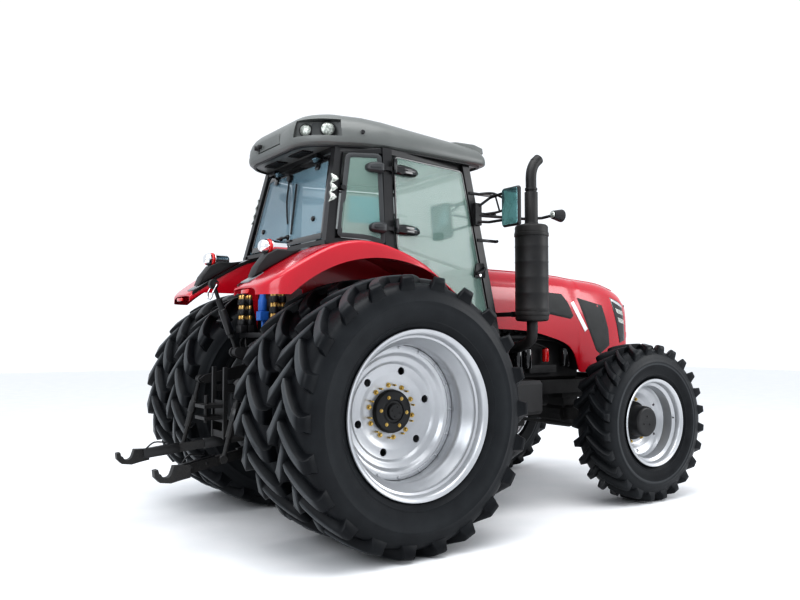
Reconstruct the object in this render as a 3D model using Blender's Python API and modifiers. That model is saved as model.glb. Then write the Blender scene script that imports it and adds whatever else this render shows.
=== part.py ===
"""Farm tractor with dual rear wheels, a glazed cab and a rear three-point linkage.

Metres, +X forward, +Y to the left, +Z up.  Every length along X is measured from the rear
axle, whose ground point is the object DATUM, so the tractor's box is centred on the origin.
"""
import math

import bmesh
import bpy
from mathutils import Matrix, Vector

# ---------------------------------------------------------------- driving dimensions
WHEELBASE = 2.716
GAP = 0.0003                # between touching pieces
SWING = 0.006               # round a moving panel
RUNNING = 0.0009            # shaft to bore
PIN_RUN = 0.0006            # linkage pin to eye

# rear wheels, twin tyres on each side
REAR_RADIUS = 0.92
REAR_WIDTH = 0.467
REAR_BEAD = 0.5335
REAR_RIM_HALF = 0.195
REAR_INNER_Y = 0.727
REAR_OUTER_Y = 1.26
REAR_DISC_Y = 1.087
REAR_SHAFT = 0.055
REAR_SIDES = 28             # flats round a rear wheel, one of them on the ground

# front wheels
FRONT_RADIUS = 0.685
FRONT_WIDTH = 0.378
FRONT_BEAD = 0.3556
FRONT_RIM_HALF = 0.17
FRONT_Y = 0.987
FRONT_HUB_FACE = 1.069
FRONT_SHAFT = 0.045
FRONT_SIDES = 24
KINGPIN_Y = 0.72
KINGPIN_RADIUS = 0.075
STEER_ARM = 0.23

RIM_FLANGE = 0.0255         # height of a rim flange over its bead seat
RIM_PLATE = 0.012           # thickness of rim barrel and flange

# chassis
HOUSING_HALF = 0.24
HOUSING_X = 0.36
HOUSING_Z = (0.62, 1.20)
TRUMPET_END = 0.50
GEARBOX_X = 1.62
GEARBOX_Z = (0.70, 1.10)
GEARBOX_TOP = 1.14          # of the bell housing at its front
ENGINE = ((1.66, 2.72), (-0.27, 0.27), (1.06, 1.66))
FRAME_Z = (0.90, 1.03)
FRAME_END = WHEELBASE + 0.504
FRONT_FACE_X = FRAME_END + 0.11

# cab: lines of its three posts on each side, as (X, Y) at a foot and a head height
FLOOR_Z = (1.24, 1.28)
POST_TOP = 2.83
HEADER = 0.045
A_FOOT_Z = 1.30
A_FOOT = (1.37, 0.62)
A_HEAD = (1.031, 0.599)
B_X = 0.19
B_FOOT_Z = 2.0
B_FOOT_Y = 0.80
B_HEAD_Y = 0.75
C_FOOT = (-0.30, 0.75)
C_HEAD = (-0.133, 0.605)
POST_HALF = 0.035
B_HALF = 0.04
POST_DEEP = 0.06
SILL = 0.04
DOOR_DEEP = 0.038
DOOR_RAIL = 0.045
GLASS = 0.006
TUB_REAR_X = -0.27
SCREEN_FOOT_Z = 1.52
REAR_GLASS_FOOT_Z = 2.13
REAR_SILL_Z = (2.085, 2.118)
ROOF_Z = POST_TOP + GAP
ROOF_TOP = POST_TOP + 0.24
ROOF_FRONT = 1.25
ROOF_REAR = -0.42
ROOF_HALF = 0.76           # half width over the middle posts
ROOF_TAIL = 0.64            # half width at the rear
ROOF_CORNER = 0.32

# fenders: the top line runs from the rear tip over the wheel and down in front of it
FENDER_INNER = 0.455
FENDER_OUTER = 1.0
FENDER_SHEET = 0.012
FENDER_LIP = 1.055          # radius of the lip's lower edge about the rear axle
FENDER_CORNER = 0.20        # rounding of the rear outer corner in plan
FENDER_LOW = 1.25           # lower edge of the inner panel
FENDER_TAIL_LOW = 1.78      # of that panel behind the wheel
FENDER_TAIL_X = -0.3
FENDER_TIP = (-0.91, 1.725)
FENDER_CROWN = [(-0.62, 1.935), (-0.40, 2.05), (-0.2, 2.095), (0.0, 2.085), (0.2, 2.03),
                (0.37, 1.955), (0.52, 1.855), (0.67, 1.743), (0.80, 1.62), (0.90, 1.50)]
FENDER_FOOT = (0.985, 1.345)

# hood: stations along X with top height, half width and lower edge
HOOD_SHEET = 0.014
HOOD_HINGE = (1.56, 1.93)
HOOD_STATIONS = [(1.46, 2.045, 0.425, 1.50), (1.90, 2.04, 0.42, 1.482), (2.20, 2.03, 0.42, 1.425),
                 (2.40, 2.02, 0.42, 1.36), (2.52, 2.01, 0.415, 1.26), (2.58, 2.005, 0.415, 1.10),
                 (WHEELBASE + 0.234, 1.975, 0.405, 1.10), (WHEELBASE + 0.464, 1.915, 0.38, 1.11)]
NOSE_X = WHEELBASE + 0.724
NOSE_BOW = 1.15             # how fast the nose falls back towards its corners
NOSE_TOP = 1.81
NOSE_HALF = 0.36

# exhaust on the right
MUFFLER = (1.61, -0.79)
MUFFLER_RADIUS = 0.139
MUFFLER_Z = (1.555, 2.365)
PIPE_RADIUS = 0.045

# the stand that carries the hood's hinge
STAND_X = (1.50, 1.54)
STAND_EAR_Y = (0.285, 0.31)
HINGE_PIN = 0.012

# door and quarter window hinges, heights of the fixed halves
HINGES_Z = ((2.20, 2.24), (2.65, 2.69))
HINGE_BARREL = 0.011

# rear linkage
LINK_PIVOT = (-0.42, 0.25, 0.655)
LINK_HOOK = (-1.34, 0.46, 0.535)
LINK_EYE_X = -0.93
ARM_PIVOT = (-0.43, 1.16)
ARM_END = (-0.80, 1.10)
ARM_Y = 0.345
LIFT_ROD_Y = 0.42
PIN_RADIUS = 0.016
TOP_LINK_PIVOT = (-0.668, 1.312)
TOP_LINK_END = (-0.856, 1.817)
LADDER_X = -0.80
LADDER_Z = (0.685, 1.205)
LADDER_Y = (0.095, 0.125)

SEAT = 0.004                # from the fender's top to the frame over it
REAR_REACH = 1.42           # hook ends behind the rear axle
DATUM_X = (REAR_REACH - NOSE_X) / 2

# ---------------------------------------------------------------- scene and helpers
for old in list(bpy.data.objects):
    bpy.data.objects.remove(old)

tractor = bpy.data.collections.new("farm_tractor")
bpy.context.scene.collection.children.link(tractor)
datum = bpy.data.objects.new("rear_axle_ground_point", None)
datum.location = (DATUM_X, 0, 0)
tractor.objects.link(datum)


def material(name, colour, roughness, metallic=0.0, alpha=1.0):
    """A Principled finish for one piece."""
    finish = bpy.data.materials.new(name)
    finish.use_nodes = True
    shader = finish.node_tree.nodes["Principled BSDF"]
    shader.inputs["Base Color"].default_value = (*colour, 1)
    shader.inputs["Roughness"].default_value = roughness
    shader.inputs["Metallic"].default_value = metallic
    shader.inputs["Alpha"].default_value = alpha
    return finish


RED = material("red_paint", (0.55, 0.01, 0.02), 0.3)
GREY = material("roof_grey", (0.16, 0.165, 0.16), 0.45)
BLACK = material("black_paint", (0.015, 0.015, 0.017), 0.4)
CAST = material("cast_black", (0.02, 0.02, 0.022), 0.6)
RUBBER = material("tyre_rubber", (0.02, 0.021, 0.025), 0.8)
SILVER = material("rim_silver", (0.6, 0.61, 0.62), 0.35, 0.6)
CLEAR = material("tinted_glass", (0.25, 0.4, 0.38), 0.05, 0.0, 0.35)
VINYL = material("seat_vinyl", (0.03, 0.03, 0.03), 0.7)


def node(name, mesh, finish, pivot=(0, 0, 0)):
    """One sub-part: its origin is its pivot, and it stands on the datum."""
    mesh.transform(Matrix.Translation(-Vector(pivot)))
    mesh.shade_smooth()
    mesh.set_sharp_from_angle(angle=math.radians(35))
    mesh.materials.clear()
    mesh.materials.append(finish)
    made = bpy.data.objects.new(name, mesh)
    made.location = pivot
    made.parent = datum
    tractor.objects.link(made)
    return made


def from_bmesh(work, name="solid"):
    bmesh.ops.remove_doubles(work, verts=work.verts, dist=0.00002)
    bmesh.ops.recalc_face_normals(work, faces=work.faces)
    mesh = bpy.data.meshes.new(name)
    work.to_mesh(mesh)
    work.free()
    return mesh


def evaluated(holder):
    """The finished mesh of a helper object, which is then removed."""
    bpy.context.scene.collection.objects.link(holder)
    bpy.context.view_layer.update()
    seen = holder.evaluated_get(bpy.context.evaluated_depsgraph_get())
    mesh = bpy.data.meshes.new_from_object(seen)
    bpy.data.objects.remove(holder)
    work = bmesh.new()
    work.from_mesh(mesh)
    return from_bmesh(work)


def block(x, y, z, bevel=0.0):
    """A box between the low and high value on each axis."""
    work = bmesh.new()
    bmesh.ops.create_cube(work, size=1)
    for vert in work.verts:
        vert.co = Vector([lo + (hi - lo) * (part + 0.5)
                          for part, (lo, hi) in zip(vert.co, (x, y, z))])
    if bevel:
        bmesh.ops.bevel(work, geom=work.edges, offset=bevel, segments=1, affect="EDGES")
    return from_bmesh(work)


def rod(start, end, radius, sides=12, end_radius=None):
    """A cylinder or cone between two points."""
    start = Vector(start)
    end = Vector(end)
    work = bmesh.new()
    turn = (end - start).to_track_quat("Z", "Y").to_matrix().to_4x4()
    bmesh.ops.create_cone(work, cap_ends=True, segments=sides, radius1=radius,
                          radius2=radius if end_radius is None else end_radius,
                          depth=(end - start).length,
                          matrix=Matrix.Translation((start + end) / 2) @ turn)
    return from_bmesh(work)


def bar(start, end, width, height):
    """A flat bar between two points, its width across and its height upright."""
    start = Vector(start)
    end = Vector(end)
    along = (end - start).normalized()
    across = Vector((0, 0, 1)).cross(along).normalized()
    turn = Matrix((along, across, along.cross(across))).transposed().to_4x4()
    work = bmesh.new()
    size = Matrix.Diagonal(((end - start).length, width, height, 1))
    bmesh.ops.create_cube(work, size=1, matrix=Matrix.Translation((start + end) / 2) @ turn @ size)
    return from_bmesh(work)


PLANES = {
    "XZ": Matrix(((1, 0, 0, 0), (0, 0, -1, 0), (0, 1, 0, 0), (0, 0, 0, 1))),
    "XY": Matrix.Identity(4),
    "YZ": Matrix(((0, 0, 1, 0), (1, 0, 0, 0), (0, 1, 0, 0), (0, 0, 0, 1))),
}


def plate(outlines, plane, across):
    """A flat outline, with any holes after it, given a thickness from across[0] to across[1]."""
    drawing = bpy.data.curves.new("outline", "CURVE")
    drawing.dimensions = "2D"
    drawing.fill_mode = "BOTH"
    drawing.extrude = (across[1] - across[0]) / 2
    for outline in outlines:
        line = drawing.splines.new("POLY")
        line.points.add(len(outline) - 1)
        for point, (u, v) in zip(line.points, outline):
            point.co = (u, v, 0, 1)
        line.use_cyclic_u = True
    mesh = evaluated(bpy.data.objects.new("outline", drawing))
    middle = (across[0] + across[1]) / 2
    shift = {"XZ": (0, middle, 0), "XY": (0, 0, middle), "YZ": (middle, 0, 0)}[plane]
    mesh.transform(Matrix.Translation(shift) @ PLANES[plane])
    return mesh


def pipe(points, radius, sides=2):
    """A round bar or tube along a list of points."""
    drawing = bpy.data.curves.new("run", "CURVE")
    drawing.dimensions = "3D"
    drawing.bevel_depth = radius
    drawing.bevel_resolution = sides
    drawing.use_fill_caps = True
    line = drawing.splines.new("POLY")
    line.points.add(len(points) - 1)
    for point, place in zip(line.points, points):
        point.co = (*place, 1)
    return evaluated(bpy.data.objects.new("run", drawing))


def turned(profile, sides, closed=True):
    """A profile of (radius, Y) points turned about the Y axis."""
    work = bmesh.new()
    verts = [work.verts.new((radius, 0, along)) for radius, along in profile]
    for first, second in zip(verts, verts[1:] + (verts[:1] if closed else [])):
        work.edges.new((first, second))
    mesh = bpy.data.meshes.new("profile")
    work.to_mesh(mesh)
    work.free()
    holder = bpy.data.objects.new("profile", mesh)
    screw = holder.modifiers.new("Turn", "SCREW")
    screw.axis = "Z"
    screw.steps = sides
    screw.render_steps = sides
    screw.use_merge_vertices = True
    screw.merge_threshold = 0.00002
    solid = evaluated(holder)
    solid.transform(Matrix.Rotation(-math.pi / 2, 4, "X"))
    return solid


def boolean(base, others, operation):
    """Join or cut solids and give back the finished mesh."""
    holder = bpy.data.objects.new("base", base)
    helpers = []
    for other in others:
        helper = bpy.data.objects.new("helper", other)
        bpy.context.scene.collection.objects.link(helper)
        helpers.append(helper)
        step = holder.modifiers.new("Step", "BOOLEAN")
        step.operation = operation
        step.solver = "EXACT"
        step.object = helper
    mesh = evaluated(holder)
    for helper in helpers:
        bpy.data.objects.remove(helper)
    return mesh


def unite(*solids):
    return boolean(solids[0], solids[1:], "UNION")


def carve(base, *cutters):
    return boolean(base, cutters, "DIFFERENCE")


def mirrored(mesh):
    """The same solid on the other side of the tractor."""
    other = mesh.copy()
    other.transform(Matrix.Diagonal((1, -1, 1, 1)))
    other.flip_normals()
    return other


def sided(mesh, side):
    """The solid, drawn on the left, for side 1 or -1."""
    return mesh if side > 0 else mirrored(mesh)


def reshaped(mesh, rule):
    """Every corner moved by a rule that takes and gives X, Y and Z."""
    for vert in mesh.vertices:
        vert.co = rule(*vert.co)
    return mesh


def arc(centre, radius, start, end, steps):
    """Points along an arc, angles in degrees."""
    return [(centre[0] + radius * math.cos(math.radians(start + (end - start) * i / steps)),
             centre[1] + radius * math.sin(math.radians(start + (end - start) * i / steps)))
            for i in range(steps + 1)]


# ---------------------------------------------------------------- lines of the cab
def between(value, low, high, first, last):
    """A value that runs from first at low to last at high."""
    return first + (last - first) * (value - low) / (high - low)


def a_line(z):
    return (between(z, A_FOOT_Z, POST_TOP, A_FOOT[0], A_HEAD[0]),
            between(z, A_FOOT_Z, POST_TOP, A_FOOT[1], A_HEAD[1]))


def b_line(z):
    return B_X, between(z, B_FOOT_Z, POST_TOP, B_FOOT_Y, B_HEAD_Y)


def c_line(z):
    return (between(z, B_FOOT_Z, POST_TOP, C_FOOT[0], C_HEAD[0]),
            between(z, B_FOOT_Z, POST_TOP, C_FOOT[1], C_HEAD[1]))


REAR_HINGE = (c_line(POST_TOP - 0.052)[0] - 0.048, POST_TOP - 0.049)


def side_y(x, z):
    """The outside of the cab's flank: straight from post to post."""
    far = a_line(z) if x >= B_X else c_line(z)
    near = b_line(z)
    return between(x, near[0], far[0], near[1], far[1])


def fender_top(x):
    """Height of the fender's top line."""
    line = [FENDER_TIP, *FENDER_CROWN, FENDER_FOOT]
    for (x0, z0), (x1, z1) in zip(line, line[1:]):
        if x <= x1:
            return between(x, x0, x1, z0, z1)
    return line[-1][1]


def flank_plate(outlines, deep):
    """A panel that lies in the cab's flank, from deep[0] to deep[1] under its outside."""
    flat = plate(outlines, "XZ", (-deep[1], -deep[0]))
    return reshaped(flat, lambda x, y, z: (x, side_y(x, z) + y, z))


def door_hinge(z):
    """The door turns about a line on the outside of the middle post."""
    return B_X + B_HALF - 0.015, b_line(z)[1] + 0.012


def quarter_hinge(z):
    """The quarter window turns about a line on the outside of the middle post."""
    return B_X - B_HALF + 0.005, b_line(z)[1] + 0.012


def post(line, z, x, y):
    """A post that leans along a line, with its size about that line."""
    upright = block(x, y, z)
    return reshaped(upright, lambda px, py, pz: (px + line(pz)[0], py + line(pz)[1], pz))


def knuckle(line, low, high, reach, deep=0.0215):
    """Half a hinge: a barrel on its line, a strap that reaches past the post, and its foot."""
    barrel = rod((*line(low), low), (*line(high), high), HINGE_BARREL, 8)
    inner = low + 0.006
    outer = high - 0.006
    strap = post(line, (inner, outer), (min(0, reach), max(0, reach)), (-0.010, 0.006))
    start = math.copysign(0.021, reach)
    foot = post(line, (inner + 0.001, outer - 0.001), (min(start, reach), max(start, reach)),
                (-deep, 0.005))
    return unite(barrel, strap, foot)


# ---------------------------------------------------------------- wheels
def tyre_profile(radius, width, bead, rim_half, middle):
    """Cross-section of a tyre: beads between the flanges, bulging sidewalls, crowned tread."""
    half = width / 2
    seat = rim_half - RIM_PLATE - GAP
    right = [(bead + GAP, seat), (bead + RIM_FLANGE + 0.006, seat),
             (between(0.5, 0, 1, bead, radius), half), (radius - 0.075, half - 0.008),
             (radius - 0.012, half - 0.055)]
    left = [(r, -y) for r, y in reversed(right)]
    return [(r, y + middle) for r, y in [*right, (radius, 0), *left]]


def wheel_solid(profile, sides, centre, closed=True):
    """A turned wheel piece about its axle, with a flat and not a corner under it."""
    flat = math.cos(math.pi / sides)
    solid = turned([(radius / flat, along) for radius, along in profile], sides, closed)
    solid.transform(Matrix.Translation(centre) @ Matrix.Rotation(math.pi / sides, 4, "Y"))
    return solid


def rim_ends(bead, low, high):
    """Corners of the rim's outside from its high flange to its low flange."""
    lip = bead + RIM_FLANGE
    return [(lip, high), (lip, high - RIM_PLATE), (bead, high - RIM_PLATE),
            (bead, low + RIM_PLATE), (lip, low + RIM_PLATE), (lip, low)]


def rear_rim_profile():
    """Both rear rims, their discs and the spacer drum as one turned outline."""
    under = REAR_BEAD - RIM_PLATE
    outer = (REAR_OUTER_Y - REAR_RIM_HALF, REAR_OUTER_Y + REAR_RIM_HALF)
    inner = (REAR_INNER_Y - REAR_RIM_HALF, REAR_INNER_Y + REAR_RIM_HALF)
    bore = REAR_SHAFT + RUNNING
    disc = 0.022
    inner_disc = REAR_INNER_Y + 0.083
    return [(0, REAR_DISC_Y + 0.038), (0.148, REAR_DISC_Y + 0.038), (0.148, REAR_DISC_Y),
            (0.36, REAR_DISC_Y), (0.42, REAR_DISC_Y + 0.10), (under, REAR_DISC_Y + 0.12),
            (under, outer[1]), *rim_ends(REAR_BEAD, *outer), (under, outer[0]),
            (under, REAR_DISC_Y + 0.12 - disc), (0.42, REAR_DISC_Y + 0.10 - disc),
            (0.36, REAR_DISC_Y - disc), (0.20, REAR_DISC_Y - disc), (0.20, inner_disc),
            (under, inner_disc), (under, inner[1]), *rim_ends(REAR_BEAD, *inner),
            (under, inner[0]), (under, inner_disc - disc), (0.14, inner_disc - disc),
            (0.14, TRUMPET_END + 0.01), (bore, TRUMPET_END + 0.01), (bore, REAR_DISC_Y + 0.005),
            (0, REAR_DISC_Y + 0.005)]


def front_rim_profile():
    """Front rim, its disc and the planetary hub as one turned outline."""
    under = FRONT_BEAD - RIM_PLATE
    low = FRONT_Y - FRONT_RIM_HALF
    high = FRONT_Y + FRONT_RIM_HALF
    bore = FRONT_SHAFT + RUNNING
    disc = FRONT_Y - 0.03
    return [(0, FRONT_HUB_FACE), (0.12, FRONT_HUB_FACE), (0.134, FRONT_HUB_FACE - 0.014),
            (0.134, disc), (0.31, disc), (under, disc + 0.033), (under, high),
            *rim_ends(FRONT_BEAD, low, high), (under, low), (under, disc + 0.01),
            (0.31, disc - 0.018), (0.12, disc - 0.018), (0.12, 0.80), (bore, 0.80),
            (bore, FRONT_HUB_FACE - 0.03), (0, FRONT_HUB_FACE - 0.03)]


REAR_CENTRE = (0, 0, REAR_RADIUS)
FRONT_CENTRE = (WHEELBASE, 0, FRONT_RADIUS)


def make_wheels(side, word):
    """The twin rear tyres on their joined rims, and the front tyre on its rim."""
    for place, middle in (("inner", REAR_INNER_Y), ("outer", REAR_OUTER_Y)):
        outline = tyre_profile(REAR_RADIUS, REAR_WIDTH, REAR_BEAD, REAR_RIM_HALF, middle)
        tyre = wheel_solid(outline, REAR_SIDES, REAR_CENTRE)
        node(f"rear_tyre_{place}_{word}", sided(tyre, side), RUBBER, REAR_CENTRE)
    rims = wheel_solid(rear_rim_profile(), REAR_SIDES, REAR_CENTRE, closed=False)
    node(f"rear_rims_{word}", sided(rims, side), SILVER, REAR_CENTRE)
    outline = tyre_profile(FRONT_RADIUS, FRONT_WIDTH, FRONT_BEAD, FRONT_RIM_HALF, FRONT_Y)
    tyre = wheel_solid(outline, FRONT_SIDES, FRONT_CENTRE)
    node(f"front_tyre_{word}", sided(tyre, side), RUBBER, FRONT_CENTRE)
    rim = wheel_solid(front_rim_profile(), FRONT_SIDES, FRONT_CENTRE, closed=False)
    node(f"front_rim_{word}", sided(rim, side), SILVER, FRONT_CENTRE)


# ---------------------------------------------------------------- chassis
def make_chassis():
    """Rear axle housing, gearbox, engine and front frame, end to end along the middle."""
    half = HOUSING_HALF
    body = block((-HOUSING_X, HOUSING_X), (-half, half), HOUSING_Z, 0.03)
    trumpets = rod((0, -TRUMPET_END, REAR_RADIUS), (0, TRUMPET_END, REAR_RADIUS), 0.14, 16)
    shaft_end = REAR_DISC_Y + 0.002
    shafts = rod((0, -shaft_end, REAR_RADIUS), (0, shaft_end, REAR_RADIUS), REAR_SHAFT, 20)
    ears = []
    for side in (1, -1):
        ear = plate([[(-HOUSING_X + 0.05, 1.08), *arc(ARM_PIVOT, 0.06, 270, 90, 6),
                      (-HOUSING_X + 0.05, 1.215)]], "XZ", (0.195, 0.23))
        ears.append(sided(ear, side))
        lug = plate([[(-HOUSING_X + 0.05, 0.585), *arc((LINK_PIVOT[0], LINK_PIVOT[2]), 0.045,
                      240, 100, 5), (-HOUSING_X + 0.05, 0.72)]], "XZ", (0.20, 0.222))
        pin = rod((LINK_PIVOT[0], 0.21, LINK_PIVOT[2]), (LINK_PIVOT[0], 0.29, LINK_PIVOT[2]),
                  PIN_RADIUS)
        ears.append(sided(unite(lug, pin), side))
    bracket = plate([[(-0.31, 1.19), (-0.31, 1.234), (-0.60, 1.35),
                      *arc(TOP_LINK_PIVOT, 0.04, 110, 250, 6), (-0.36, 1.19)]],
                    "XZ", (-0.06, 0.06))
    slot = block((TOP_LINK_PIVOT[0] - 0.08, TOP_LINK_PIVOT[0] + 0.075), (-0.031, 0.031),
                 (1.2, 1.42))
    pin = rod((TOP_LINK_PIVOT[0], -0.05, TOP_LINK_PIVOT[1]),
              (TOP_LINK_PIVOT[0], 0.05, TOP_LINK_PIVOT[1]), PIN_RADIUS)
    bracket = unite(carve(bracket, slot), pin)
    holes = rod((ARM_PIVOT[0], -0.3, ARM_PIVOT[1]), (ARM_PIVOT[0], 0.3, ARM_PIVOT[1]),
                0.035 + PIN_RUN, 20)
    housing = carve(unite(body, trumpets, shafts, *ears, bracket), holes)
    node("rear_axle_housing", housing, CAST)

    gearbox = unite(block((HOUSING_X + GAP, GEARBOX_X), (-0.2, 0.2), GEARBOX_Z, 0.03),
                    block((GEARBOX_X - 0.30, GEARBOX_X), (-0.27, 0.27), (0.74, GEARBOX_TOP), 0.03))
    node("gearbox_housing", gearbox, CAST)

    low_sump = block((GEARBOX_X + GAP, 2.40), (-0.19, 0.19), (0.78, FRAME_Z[0] + 0.05), 0.02)
    rails = [block((GEARBOX_X + GAP, FRAME_END), (side * 0.24 - 0.05, side * 0.24 + 0.05), FRAME_Z)
             for side in (1, -1)]
    head = block((WHEELBASE + 0.234, FRAME_END + 0.02), (-0.25, 0.25), (0.84, 1.02), 0.01)
    face = block((FRAME_END, FRONT_FACE_X), (-0.30, 0.30), (0.80, 1.06), 0.01)
    saddle = block((WHEELBASE - 0.16, WHEELBASE + 0.16), (-0.2, 0.2), (0.845, 0.96))
    ends = block((GEARBOX_X + GAP, GEARBOX_X + 0.08), (-0.26, 0.26), (0.80, 1.02))
    frame = unite(rails[0], rails[1], low_sump, head, face, saddle, ends)
    node("front_frame", frame, CAST)

    engine = block((GEARBOX_X + 0.01, ENGINE[0][1]), ENGINE[1], (FRAME_Z[1] + GAP, ENGINE[2][1]),
                   0.03)
    node("engine_block", engine, CAST)


def make_front_axle():
    """Driven front axle: the beam, a steering knuckle at each end and the tie rod behind it."""
    x = WHEELBASE
    z = FRONT_RADIUS
    end = KINGPIN_Y - KINGPIN_RADIUS - 0.012
    beam = block((x - 0.08, x + 0.08), (-end, end), (z - 0.065, z + 0.085), 0.02)
    bowl = rod((x, -0.14, z), (x, 0.14, z), 0.13, 16)
    saddle = block((x - 0.1, x + 0.1), (-0.16, 0.16), (z + 0.06, 0.845 - GAP))
    pieces = [beam, bowl, saddle]
    ear = 0.045
    top = z + 0.17
    bottom = z - 0.14
    for side in (1, -1):
        upper = block((x - 0.05, x + 0.05), (end - 0.09, KINGPIN_Y + 0.05), (top + GAP, top + ear))
        lower = block((x - 0.05, x + 0.05), (end - 0.09, KINGPIN_Y + 0.05),
                      (bottom - ear, bottom - GAP))
        cheek = block((x - 0.05, x + 0.05), (end - 0.09, end - 0.02),
                      (bottom - 0.03, top + 0.03))
        pieces.append(sided(unite(cheek, upper, lower), side))
    node("front_axle_beam", unite(*pieces), CAST)

    for side, word in ((1, "left"), (-1, "right")):
        king = rod((x, KINGPIN_Y, bottom), (x, KINGPIN_Y, top), KINGPIN_RADIUS, 20)
        stub = rod((x, KINGPIN_Y, z), (x, FRONT_HUB_FACE - 0.033, z), FRONT_SHAFT, 20)
        arm = bar((x, KINGPIN_Y, z - 0.035), (x - STEER_ARM - 0.03, KINGPIN_Y, z - 0.035),
                  0.06, 0.03)
        node(f"front_knuckle_{word}", sided(unite(king, stub, arm), side), CAST,
             (x, side * KINGPIN_Y, z))
    rod_z = z - 0.05 - GAP - 0.02
    tie = unite(rod((x - STEER_ARM, -KINGPIN_Y, rod_z), (x - STEER_ARM, KINGPIN_Y, rod_z), 0.016),
                rod((x - STEER_ARM, KINGPIN_Y, rod_z - 0.022),
                    (x - STEER_ARM, KINGPIN_Y, rod_z + 0.02), 0.028),
                rod((x - STEER_ARM, -KINGPIN_Y, rod_z - 0.022),
                    (x - STEER_ARM, -KINGPIN_Y, rod_z + 0.02), 0.028))
    node("tie_rod", tie, BLACK, (x - STEER_ARM, KINGPIN_Y, rod_z))


def make_side_boxes():
    """Fuel tank with steps on the left, battery box with steps on the right."""
    for side, word, box_x in ((1, "fuel_tank_left", (1.0, 1.74)), (-1, "battery_box_right",
                                                                  (1.30, 1.74))):
        low = 0.62 if side > 0 else 0.78
        box = block(box_x, (0.40, 0.60 if side > 0 else 0.80), (low, 1.065), 0.03)
        arms = [block((x, x + 0.06), (0.27 + GAP, 0.44), (0.86, 0.94)) for x in (1.36, 1.52)]
        beam = block((1.0, 1.70), (0.36, 0.42), (0.87, 0.93))
        step_x = (0.985, 1.255)
        ladder = [block((x, x + 0.012), (0.58, 0.84), (0.36, 1.12)) for x in step_x]
        treads = [block((step_x[0] + 0.005, step_x[1] + 0.005), (0.62, 0.84), (z, z + 0.02))
                  for z in (0.40, 0.70, 1.0)]
        brace = block((0.99, 1.26), (0.39, 0.66), (0.88, 0.92))
        node(word, sided(unite(box, *arms, beam, brace, *ladder, *treads), side), BLACK)


def make_exhaust():
    """Muffler, its tail pipe with a swept end, and the down pipe to the engine."""
    x, y = MUFFLER
    can = rod((x, y, MUFFLER_Z[0]), (x, y, MUFFLER_Z[1]), MUFFLER_RADIUS, 28)
    neck = rod((x, y, MUFFLER_Z[1] - 0.01), (x, y, 2.645), 0.055, 20)
    tail = pipe([(x, y, 2.60), (x, y, 2.76), (x + 0.012, y, 2.83), (x + 0.042, y, 2.89),
                 (x + 0.085, y, 2.935)], PIPE_RADIUS, 2)
    down = pipe([(x, y, MUFFLER_Z[0] + 0.02), (x, y, 1.46), (x + 0.01, y + 0.05, 1.38),
                 (x + 0.03, y + 0.14, 1.345), (x + 0.085, -0.40, 1.335),
                 (x + 0.09, -0.35, 1.335), (x + 0.09, ENGINE[1][0] - GAP, 1.335)], PIPE_RADIUS, 2)
    node("exhaust_stack", unite(can, neck, tail, down), BLACK)


# ---------------------------------------------------------------- cab
def make_cab_frame():
    """Posts, headers and sills of the cab as one welded frame."""
    pieces = []
    b_low = fender_top(B_X - B_HALF) + SEAT
    c_low = fender_top(c_line(REAR_SILL_Z[0])[0] + POST_HALF) + SEAT
    head = POST_TOP - HEADER
    for side in (1, -1):
        half = POST_HALF
        a_post = post(a_line, (FLOOR_Z[1] + GAP, POST_TOP), (-half, half), (-half, half))
        b_post = post(b_line, (b_low, POST_TOP - 0.002), (-B_HALF, B_HALF), (-POST_DEEP, 0.0))
        c_post = post(c_line, (c_low, POST_TOP - 0.001), (-half, half), (-POST_DEEP, 0.001))
        front_top = [(B_X, head), (a_line(head)[0], head), (a_line(POST_TOP)[0], POST_TOP - 0.003),
                     (B_X, POST_TOP - 0.003)]
        rear_top = [(c_line(head)[0], head), (B_X, head), (B_X, POST_TOP - 0.004),
                    (c_line(POST_TOP)[0], POST_TOP - 0.004)]
        sill_x = [B_X - 0.01, 0.20, 0.37, 0.52, 0.67, 0.80, 0.90, 0.985]
        lower = [(x, fender_top(x) + SEAT) for x in sill_x]
        foot = a_line(FENDER_FOOT[1])[0]
        upper = [(x + 0.028, fender_top(x) + SILL) for x in reversed(sill_x[2:])]
        arch = flank_plate([[*lower, (foot, FENDER_FOOT[1]), (foot, FENDER_FOOT[1] + SILL),
                             (1.012, FENDER_FOOT[1] + SILL + 0.002), *upper[1:],
                             (B_X - 0.01, fender_top(B_X) + SILL)]], (0.003, POST_DEEP - 0.005))
        rear_x = [C_FOOT[0] - 0.02, -0.2, 0.0, B_X + 0.01]
        rear_sill = flank_plate([[*[(x, fender_top(x) + SEAT + 0.001) for x in rear_x],
                                  *[(x, fender_top(x) + SILL - 0.001) for x in reversed(rear_x)]]],
                                (0.002, POST_DEEP - 0.004))
        knuckles = [knuckle(line, *height, reach) for height in HINGES_Z
                    for line, reach in ((door_hinge, -0.035), (quarter_hinge, 0.035))]
        half_frame = unite(a_post, flank_plate([front_top], (0.002, 0.05)), b_post,
                           flank_plate([rear_top], (0.003, 0.051)), c_post, rear_sill, arch,
                           *knuckles)
        pieces.append(sided(half_frame, side))
    front_x = a_line(POST_TOP - 0.03)[0]
    rear_x = c_line(POST_TOP - 0.03)[0]
    pieces.append(block((front_x - 0.03, front_x + 0.03), (-0.6, 0.6), (head + 0.002, POST_TOP - 0.003)))
    pieces.append(block((rear_x - 0.03, rear_x + 0.03), (-0.6, 0.6), (head + 0.005, POST_TOP - 0.004)))
    pieces.append(block((-0.31, -0.255), (-0.70, 0.70), REAR_SILL_Z))
    for side in (1, -1):
        lug = block((REAR_HINGE[0] - 0.012, rear_x), (0.36 + GAP, 0.385),
                    (REAR_HINGE[1] - 0.0015, POST_TOP - 0.02))
        pieces.append(sided(lug, side))
    node("cab_frame", unite(*pieces), BLACK)


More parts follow.
